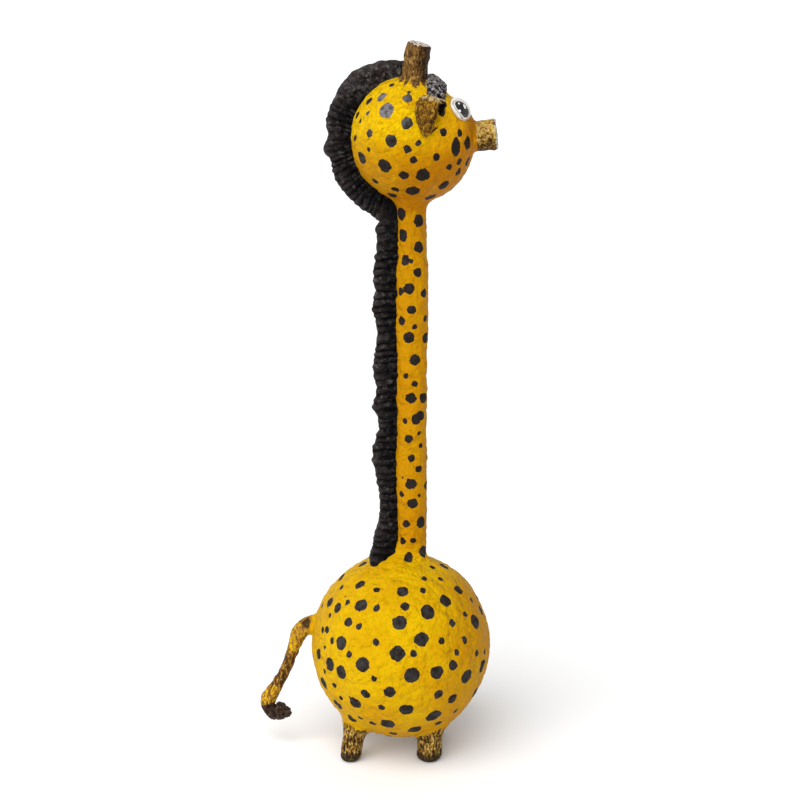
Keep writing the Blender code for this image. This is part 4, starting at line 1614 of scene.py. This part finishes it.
@dataclass
class Mane:
    """The crimped paper mane, from the forehead over the head and down the neck."""

    rows: int = 1150
    columns: int = 58
    per_span: int = 16
    root_depth: float = 0.0040
    front_half: float = 0.0040
    half: float = 0.0082
    foot_half: float = 0.0400
    usual_height: float = 0.036
    corner: float = 0.42
    front_taper: Span = (-0.02, 0.055)
    foot_taper: float = 0.036
    foot_edge: Span = (0.6, 0.0)
    foot_edge_thinning: float = 0.55
    root_retreat: float = 0.0105
    retreat_top_z: float = 0.3250
    retreat_foot_z: float = 0.2850
    head_pitch: float = 0.0092
    neck_pitch: float = 0.0108
    pitch_change: float = 0.01
    fine_pitch: float = 0.0040
    fine_run: Span = (1.03, 2.0)
    fold_depth: float = 0.0028
    fine_depth: float = 0.0009
    smooth_front: Span = (0.11, 0.23)
    least_strength: float = 0.08
    steady_strength: float = 0.75
    steady_fine: float = 0.45
    tip_folds: float = 0.55
    tip_lumps: float = 0.6
    tip_thinning: float = 0.4
    # How light the paint is on the folds: painted highlight on crests, painted shade in valleys and at the
    # root
    crest_broad: float = 0.75
    crest_least: float = 0.30
    crest_root: float = 0.35
    # Where the painted sheen lies: on faces that look up and near the head's top
    dust_facing: Span = (0.0, 0.9)
    dust_facing_share: float = 0.8
    dust_height: Span = (0.930, 0.985)
    dust_bottom: Span = (0.30, 0.36)
    spacing_change: Relief = Relief(21, 0.11, 0.022, 0.0026)
    lean: Relief = Relief(22, 0.20, 0.05, 0.0022)
    strength_change: Relief = Relief(24, 0.09, 0.03, 1.0)
    curve: Relief = Relief(23, 0.020, 0.009, 0.0007)
    curve_section: Span = (0.03, 0.01)
    lumps: Relief = Relief(25, 0.022, 0.006, 0.0011)
    lumps_section: Span = (0.036, 0.012)

    def spine(self) -> Array:
        """Root and tip of the mane, at even steps along its tips.

        Returns:
            Length along the tips, x and z of the root, and x and z of the tip, one step to a row.
        """
        keys = []
        middle = np.array((HEAD_CENTRE[0], HEAD_CENTRE[2]))
        for degrees, height in MANE_ON_HEAD:
            way = np.array([math.cos(math.radians(degrees)), math.sin(math.radians(degrees))])
            root = middle + way * (HEAD_RADIUS - self.root_depth)
            keys.append([*root, *(middle + way * (HEAD_RADIUS + height))])
        root_x = MANE_NECK_BACK_X + self.root_depth
        keys.append([root_x, MANE_NOTCH_ROOT_Z, *MANE_NOTCH])
        for z, height in MANE_ON_NECK:
            share = (self.retreat_top_z - z) / (self.retreat_top_z - self.retreat_foot_z)
            retreat = self.root_retreat * min(1.0, max(0.0, share))
            keys.append([root_x - retreat, z, MANE_NECK_BACK_X - height, z])
        return evenly_spaced(smooth_route(keys, self.per_span), (0.0, 0.0, 1.0, 1.0), self.rows)

    def over_strip(self, relief: Relief, section: Span, along: Array, share: Array, offset: Array) -> Array:
        """Read a relief over the strip as if it were flat, with a section's height and half thickness."""
        place = np.stack(np.broadcast_arrays(along, share * section[0], offset * section[1]), -1)
        return relief.at(place.reshape(-1, 3)).reshape(place.shape[:2])

    def folds(self, along: Array, neck_start: float, share: Array, offset: Array) -> tuple[Array, Array]:
        """Depth of the folds, and how near each point is to a fold's crest, which the paint lights as a
        painted highlight.

        Formula: broad and fine pleats of the length along the tips, which wanders. The broad ones
        grow from the front, where the strip is smooth.

        Args:
            along: Length along the tips, as a column.
            neck_start: The length at which the neck starts.
            share: Share of the height, for each point of the section.
            offset: Share of the half thickness, for each point of the section.

        Returns:
            The depth and the nearness, as rows by columns.
        """
        place = along * (1.0, 0.0, 0.0)
        curve = self.over_strip(self.curve, self.curve_section, along, share, offset)
        run = along + self.spacing_change.at(place)[:, None] + self.lean.at(place)[:, None] * share + curve
        on_neck = ramp(along, neck_start - self.pitch_change, neck_start + self.pitch_change)
        broad = pleats(run, self.head_pitch) * (1.0 - on_neck) + pleats(run, self.neck_pitch) * on_neck
        fine = pleats(run * self.fine_run[0] + curve * self.fine_run[1], self.fine_pitch)
        steady = self.steady_strength + (1.0 - self.steady_strength) * self.strength_change.at(place)[:, None]
        grown = ramp(along, *self.smooth_front)
        strength = (self.least_strength + (1.0 - self.least_strength) * grown) * steady
        fine_strength = self.steady_fine + (1.0 - self.steady_fine) * strength
        depth = self.fold_depth * strength * broad + self.fine_depth * fine_strength * fine
        # Valleys get painted shade and crests painted highlight
        valley = np.clip(self.crest_broad * broad + (1.0 - self.crest_broad) * fine, 0.0, 1.0)
        crest = 1.0 - valley * (self.crest_least + (1.0 - self.crest_least) * strength)
        # Less near a crest towards the root: painted shade where the mane meets the skin
        return depth, crest * (self.crest_root + (1.0 - self.crest_root) * share**2)

    def surface(self) -> Surface:
        """The ribbed strip.

        Formula: at each step along the tips a rounded section stands from the root to the tip, and
        folds across the strip draw its thickness and height in.

        Returns:
            The surface, with how near each point is to a fold's crest, and where the painted sheen lies.
        """
        spine = self.spine()
        along, root, tip = spine[:, :1], spine[:, 1:3], spine[:, 3:5]
        notch = np.argmin(np.abs(tip - MANE_NOTCH).sum(axis=1))
        share, offset = rounded_section(self.columns, self.corner, self.usual_height, self.half).T
        fold, crest = self.folds(along, along[notch, 0], share, offset)
        lumps = self.over_strip(self.lumps, self.lumps_section, along, share, offset)
        front = ramp(along, *self.front_taper)
        foot = np.clip(1.0 - (along[-1] - along) / self.foot_taper, 0.0, 1.0)
        half = self.front_half + (self.half - self.front_half) * front + (self.foot_half - self.half) * foot
        half = half * (1.0 - self.foot_edge_thinning * foot * ramp(share, *self.foot_edge))
        reach = np.linalg.norm(tip - root, axis=1)[:, None]
        drawn_in = (self.tip_folds * fold - self.tip_lumps * lumps) * share**3
        height = np.clip(reach * share - drawn_in, 0.0, None)
        wide = (half - (fold - lumps) * (1.0 - self.tip_thinning * share**4)) * offset
        x, z = (root[:, [axis]] + ((tip - root) / reach)[:, [axis]] * height for axis in (0, 1))
        made = Surface.from_grid("crimped_mane", np.stack([x, wide, z], axis=-1), ring=True, capped=True)
        high = made.points[:, 2]
        # Painted sheen on faces that look up and near the head's top
        facing = ramp(made.normals[:, 2], *self.dust_facing) * self.dust_facing_share
        dust = np.maximum(facing, ramp(high, *self.dust_height)) * ramp(high, *self.dust_bottom)
        made.note(crest=self.carried(crest, len(high)), dust=dust)
        return made

    def carried(self, values: Array, count: int) -> Array:
        """Values on the grid, as long as no point of it was merged."""
        flat = values.ravel()
        return flat if len(flat) == count else np.full(count, float(flat.mean()))

    def build(self) -> bpy.types.Object:
        """Shape the mane and paint it black."""
        return self.surface().finish(ManePaint(), Slot.MANE, ["mane"])


@dataclass
class Fringe:
    """A pad of black paper over the forehead, from ear to ear between the horns and the brow."""

    back_x: float = 0.0755
    front_x: float = 0.1008
    back_half: float = 0.0066
    front_half: float = 0.0017
    front_sink: float = 0.0022
    low_z: float = 0.9500
    end_taper: float = 0.10
    rows: int = 220
    columns: int = 60
    ridge_pitch: float = 0.0046
    ridge_depth: float = 0.0005
    waves: tuple[Span, Span] = ((0.0011, 420.0), (0.0008, 310.0))
    grain: Relief = Relief(31, 0.012, 0.0035, 1.0)
    grain_height: float = 0.00060
    # Painted sheen: grey over the pad's top, most in its middle
    dust_least: float = 0.08
    dust_middle: float = 0.42
    dust_height: Span = (0.944, 0.962)
    grey: float = 1.0
    fleck: float = 0.41
    fineness: float = 1.6

    def radius_at(self, x: Array) -> Array:
        """The head's radius about its own middle line, at a place along X."""
        return np.sqrt(HEAD_RADIUS**2 - (x - HEAD_CENTRE[0]) ** 2)

    def grid(self) -> Array:
        """The pad before its grain.

        Formula: a rounded section lies across the strip from its back edge to its front edge, and
        runs over the head from one side to the other at the head's own radius there. Its thickness
        falls towards the front, and fine folds cross it.

        Returns:
            Points, as rows by columns by 3.
        """
        limit = math.acos((self.low_z - HEAD_CENTRE[2]) / float(self.radius_at(self.back_x)))
        swing = np.linspace(-limit, limit, self.rows)[:, None]
        angle = np.linspace(0.0, 2.0 * math.pi, self.columns, endpoint=False)[None, :]
        share, lift = 0.5 - 0.5 * np.cos(angle), np.sin(angle)
        x = self.back_x + (self.front_x - self.back_x) * share
        half = self.back_half + (self.front_half - self.back_half) * share
        close = np.clip((limit - np.abs(swing)) / self.end_taper, 0.0, 1.0) ** 0.5
        run = swing * HEAD_RADIUS
        (across, across_rate), (along, along_rate) = self.waves
        wandering = run + across * np.sin(x * across_rate) + along * np.sin(run * along_rate)
        ridges = self.ridge_depth * pleats(wandering, self.ridge_pitch) * (lift > 0.0)
        radius = self.radius_at(x) - self.front_sink * share**4 + half * close * lift - ridges
        x = np.broadcast_to(x, radius.shape)
        return np.stack([x, radius * np.sin(swing), HEAD_CENTRE[2] + radius * np.cos(swing)], axis=-1)

    def build(self) -> bpy.types.Object:
        """Shape the fringe and paint it black, with grey on its grain as painted sheen and painted highlight.

        Returns:
            The finished piece.
        """
        made = Surface.from_grid("forehead_fringe", self.grid(), ring=True, capped=True)
        points = made.points
        grain = self.grain.at(points)
        made.swell(grain * self.grain_height)
        # Painted sheen, most in the pad's middle and over its top
        middle, half = (self.back_x + self.front_x) / 2.0, (self.front_x - self.back_x) / 2.0
        between = np.clip(1.0 - ((points[:, 0] - middle) / half) ** 2, 0.0, 1.0)
        dust = (self.dust_least + self.dust_middle * between) * ramp(points[:, 2], *self.dust_height)
        # Lighter on the raised grain: painted highlight
        made.note(crest=0.5 + 0.5 * np.clip(grain, -1.0, 1.0), dust=dust)
        paint = ManePaint("black_fringe_paint", self.grey, self.fleck, self.fineness)
        return made.finish(paint, Slot.MANE, ["fringe"])


@dataclass
class Ear:
    """A folded paper ear that hangs tip down, hollow towards the front."""

    side: Side
    voxel: float = 0.0009
    relaxed: int = 6
    per_span: int = 6
    wrinkles: Relief = Relief(41, 0.016, 0.0032, 0.00060, 60)
    scoop_wall: Span = (0.0020, 0.0010)
    below_skin: Span = (0.0006, 0.0016)
    # Where the fold's painted highlight and the painted light towards the top lie, along the ear
    fold: Span = (0.0440, 0.0500)
    gilt: Span = (0.0200, 0.0460)

    def local(self, points: Array, size: float = 1.0, move: Point = (0.0, 0.0, 0.0)) -> Array:
        """Points in the pod's own axes.

        Args:
            points: Places in the statue's frame.
            size: The pod's size, as a share of the whole ear's.
            move: How far its tip is moved from the ear's.

        Returns:
            Places across, sideways and up from the pod's tip.
        """
        offset = points * (1.0, self.side.value, 1.0) - (np.array(EAR_TIP) + move)
        across, above = turned(offset[:, 0], offset[:, 2], EAR_LEAN)
        return np.column_stack([across, offset[:, 1] / EAR_FLATNESS, above]) / size

    def pod_distance(self, points: Array, size: float = 1.0, move: Point = (0.0, 0.0, 0.0)) -> Array:
        """Distance to the pod at a share of its size, with its tip moved: a round post on its own axes."""
        pod = Post(0.0, 0.0, EAR_PROFILE, per_span=self.per_span)
        return pod.distance(self.local(points, size, move)) * size

    def build(self) -> bpy.types.Object:
        """Shape the ear from the model's, crumple it, and paint it.

        Returns:
            The finished piece.
        """
        node = f"{self.side.word}_ear"
        surface = Surface.from_node(f"folded_{node}", node, self.voxel)
        surface.relax(self.relaxed)
        points = surface.points
        scoop = np.abs(self.pod_distance(points, EAR_SCOOP_SIZE, EAR_SCOOP_MOVE))
        hollow = ramp(scoop, *self.scoop_wall) * ramp(-self.pod_distance(points), *self.below_skin)
        above = self.local(points)[:, 2]
        surface.note(hollow=hollow, fold=ramp(above, *self.fold), gilt=ramp(above, *self.gilt))
        surface.swell(self.wrinkles.at(points * (1.0, self.side.value, 1.0)))
        return surface.finish(EarPaint(), Slot.EAR, [node])


@dataclass
class Eye:
    """A domed eye, set on the head and looking forwards, up and outwards."""

    side: Side
    view: ViewPoint
    rows: int = 72
    columns: int = 144
    lift: float = 0.0016
    pupil_halves: Span = (0.0128, 0.0081)
    pupil_middle: Span = (-0.0064, -0.0040)
    pupil_turn: float = math.radians(-31.0)
    no_pupil: float = -0.01
    # Heights over the head at which the painted shade at the joint is gone and full
    rim_height: Span = (0.0012, 0.0004)
    dents: Relief = Relief(51, 0.020, 0.008, 0.00012)

    def axes(self) -> Array:
        """Across, up and look directions of the eye on the right side.

        Returns:
            A 3 by 3 array of unit vectors, one to a row.
        """
        look = unit(np.array(EYE_LOOK) * (1.0, Side.RIGHT.value, 1.0))
        across = unit(np.cross((0.0, 0.0, 1.0), look))
        return np.array([across, np.cross(look, across), look])

    def middle(self) -> Array:
        """Middle of the dome on the right side."""
        return np.array(EYE_MIDDLE) * (1.0, Side.RIGHT.value, 1.0) + self.axes()[1] * self.lift

    def grid(self) -> Array:
        """The dome on the right side: an oval ball on the eye's own axes.

        Returns:
            Points, as latitudes by longitudes by 3.
        """
        latitude = np.linspace(0.0, math.pi, self.rows)[:, None]
        longitude = np.linspace(0.0, 2.0 * math.pi, self.columns, endpoint=False)[None, :]
        level, height = np.sin(latitude), np.broadcast_to(np.cos(latitude), (self.rows, self.columns))
        local = np.stack([level * np.cos(longitude), level * np.sin(longitude), height], axis=-1)
        return self.middle() + (local * EYE_HALVES) @ self.axes()

    def local(self, points: Array) -> Array:
        """Points of the right side, on the eye's own axes."""
        return (points - self.middle()) @ self.axes().T

    def dome_distance(self, points: Array) -> Array:
        """Distance to the dome on the right side."""
        return Ball((0.0, 0.0, 0.0), EYE_HALVES).distance(self.local(points))

    def pupil(self, points: Array) -> Array:
        """Distance inside the pupil's edge.

        Args:
            points: Points of the right eye.

        Returns:
            One distance for each point, negative outside and on the back.
        """
        local = self.local(points)
        beside, along = turned(*(local[:, :2] - self.pupil_middle).T, self.pupil_turn)
        reach = np.hypot(along / self.pupil_halves[0], beside / self.pupil_halves[1])
        return np.where(local[:, 2] > 0.0, (1.0 - reach) * self.pupil_halves[1], self.no_pupil)

    def build(self) -> bpy.types.Object:
        """Shape the dome and mark its painted pupil and glints.

        Returns:
            The finished piece.
        """
        mirror = np.array((1.0, -float(self.side.value), 1.0))
        name = f"{self.side.word}_eye"
        surface = Surface.from_grid(f"domed_{name}", self.grid() * mirror, ring=True)
        points = surface.points * mirror
        radii = [glint.radius_mm * MILLIMETRE for glint in EYE_GLINTS]
        glints = self.view.hits(EYE_GLINTS, self.dome_distance)
        glint = inside_spots(points, glints, radii, [glint.tall for glint in EYE_GLINTS])
        # Painted shade where the dome meets the head
        rim = ramp(off_head(points), *self.rim_height)
        surface.note(pupil=self.pupil(points), glint=glint, rim=rim)
        surface.swell(self.dents.at(points))
        return surface.finish(EyePaint(), Slot.EYE, [name])


@dataclass
class Tuft:
    """The crumpled tuft at the tail's end."""

    voxel: float = 0.0009
    relaxed: int = 5
    folds: Relief = Relief(61, 0.016, 0.006, 0.0010)
    grain: Relief = Relief(62, 0.006, 0.0025, 0.00035)
    plumper: float = 0.0008

    def build(self) -> bpy.types.Object:
        """Shape the tuft from the model's, crumple it, and paint it.

        Returns:
            The finished piece.
        """
        surface = Surface.from_node("crumpled_tuft", "tail_tuft", self.voxel)
        surface.relax(self.relaxed)
        points = surface.points
        surface.swell(-np.abs(self.folds.at(points)) + self.grain.at(points) + self.plumper)
        return surface.finish(TuftPaint(), Slot.TUFT, ["tail_tuft"])


@dataclass(frozen=True)
class Lamp:
    """A broad distant light: the way it comes from, its strength, and how wide it looks."""

    name: str
    come_from: Point
    strength: float
    width: float

    def hang(self) -> None:
        """Put the lamp in the scene."""
        light = bpy.data.lights.new(self.name, "SUN")
        light.energy = self.strength
        light.angle = self.width
        lamp = bpy.data.objects.new(self.name, light)
        lamp.location = self.come_from
        lamp.rotation_euler = Vector(self.come_from).to_track_quat("Z", "Y").to_euler()
        bpy.context.scene.collection.objects.link(lamp)


@dataclass
class Studio:
    """A plain pale floor, a lamp, a soft sky and the camera."""

    view: ViewPoint
    key_light: Lamp = Lamp("key_light", (-1.2, -2.6, 3.0), 2.78, math.radians(62.0))
    floor_half: float = 60.0
    floor_lines: int = 9
    floor_tints: tuple[Colour, Colour] = ((0.97, 0.97, 0.97), (0.95, 0.95, 0.95))
    floor_patches: Noise = Noise(3.0, 2.0)
    floor_specular: float = 0.2
    floor_roughness: float = 0.9
    horizon_strength: float = 1.10
    ceiling_strength: float = 0.45
    ceiling_height: Span = (0.28, 0.60)
    front_strength: float = 0.60
    front_width: Span = (0.35, 0.85)
    lens_sees: Span = (0.05, 200.0)

    def build(self) -> None:
        """Lay the floor, hang the lamp, light the sky and set the camera."""
        self.lay_floor()
        self.key_light.hang()
        self.light_sky()
        self.set_camera()

    def lay_floor(self) -> None:
        """Lay a flat floor under the statue."""
        edge = np.linspace(-self.floor_half, self.floor_half, self.floor_lines)
        east, north = np.meshgrid(edge, edge, indexing="ij")
        grid = np.stack([east, north, np.zeros_like(east)], axis=-1)
        mesh = Surface.from_grid("studio_floor", grid, ring=False).mesh
        if mesh.polygons[0].normal.z < 0.0:
            mesh.flip_normals()
        paint = Paint("pale_floor_paint", self.floor_specular)
        paint.lay(paint.blend(paint.cloud(self.floor_patches), *self.floor_tints), self.floor_roughness)
        mesh.materials.append(paint.material)
        floor = bpy.data.objects.new("studio_floor", mesh)
        bpy.context.scene.collection.objects.link(floor)

    def light_sky(self) -> None:
        """Light the scene softly, less from overhead and ahead, and show colours as they are painted."""
        world = bpy.data.worlds.new("studio")
        world.use_nodes = True
        nodes = Nodes(world.node_tree)
        way = Tone(nodes, nodes.node("ShaderNodeTexCoord").outputs["Generated"])
        apart = nodes.node("ShaderNodeSeparateXYZ", None, {"Vector": way})
        overhead = Tone(nodes, apart.outputs["Z"]).rise(*self.ceiling_height)
        ahead = Tone(nodes, apart.outputs["X"]).rise(*self.front_width)
        strength = self.horizon_strength - overhead * (self.horizon_strength - self.ceiling_strength)
        background = world.node_tree.nodes["Background"].inputs
        nodes.feed(background["Strength"], strength * (1.0 - ahead * (1.0 - self.front_strength)))
        nodes.feed(background["Color"], (1.0, 1.0, 1.0))
        bpy.context.scene.world = world
        bpy.context.scene.view_settings.view_transform = "Standard"

    def set_camera(self) -> None:
        """Stand the camera where the photograph was taken from."""
        lens = bpy.data.cameras.new("photograph")
        lens.sensor_width = self.view.sensor_mm
        lens.lens = self.view.lens_mm
        lens.clip_start, lens.clip_end = self.lens_sees
        camera = bpy.data.objects.new("photograph", lens)
        place, target = Vector(self.view.place), Vector(self.view.target)
        camera.location = place
        camera.rotation_euler = (target - place).to_track_quat("-Z", "Y").to_euler()
        bpy.context.scene.collection.objects.link(camera)
        bpy.context.scene.camera = camera


def main() -> None:
    """Build every sub-assembly of the statue, then the studio."""
    logging.basicConfig(level=logging.INFO, format="%(message)s")
    view = ViewPoint()
    Skin(view).build()
    Mane().build()
    Fringe().build()
    for side in Side:
        Ear(side).build()
        Eye(side, view).build()
    Tuft().build()
    Studio(view).build()


if __name__ == "__main__":
    main()
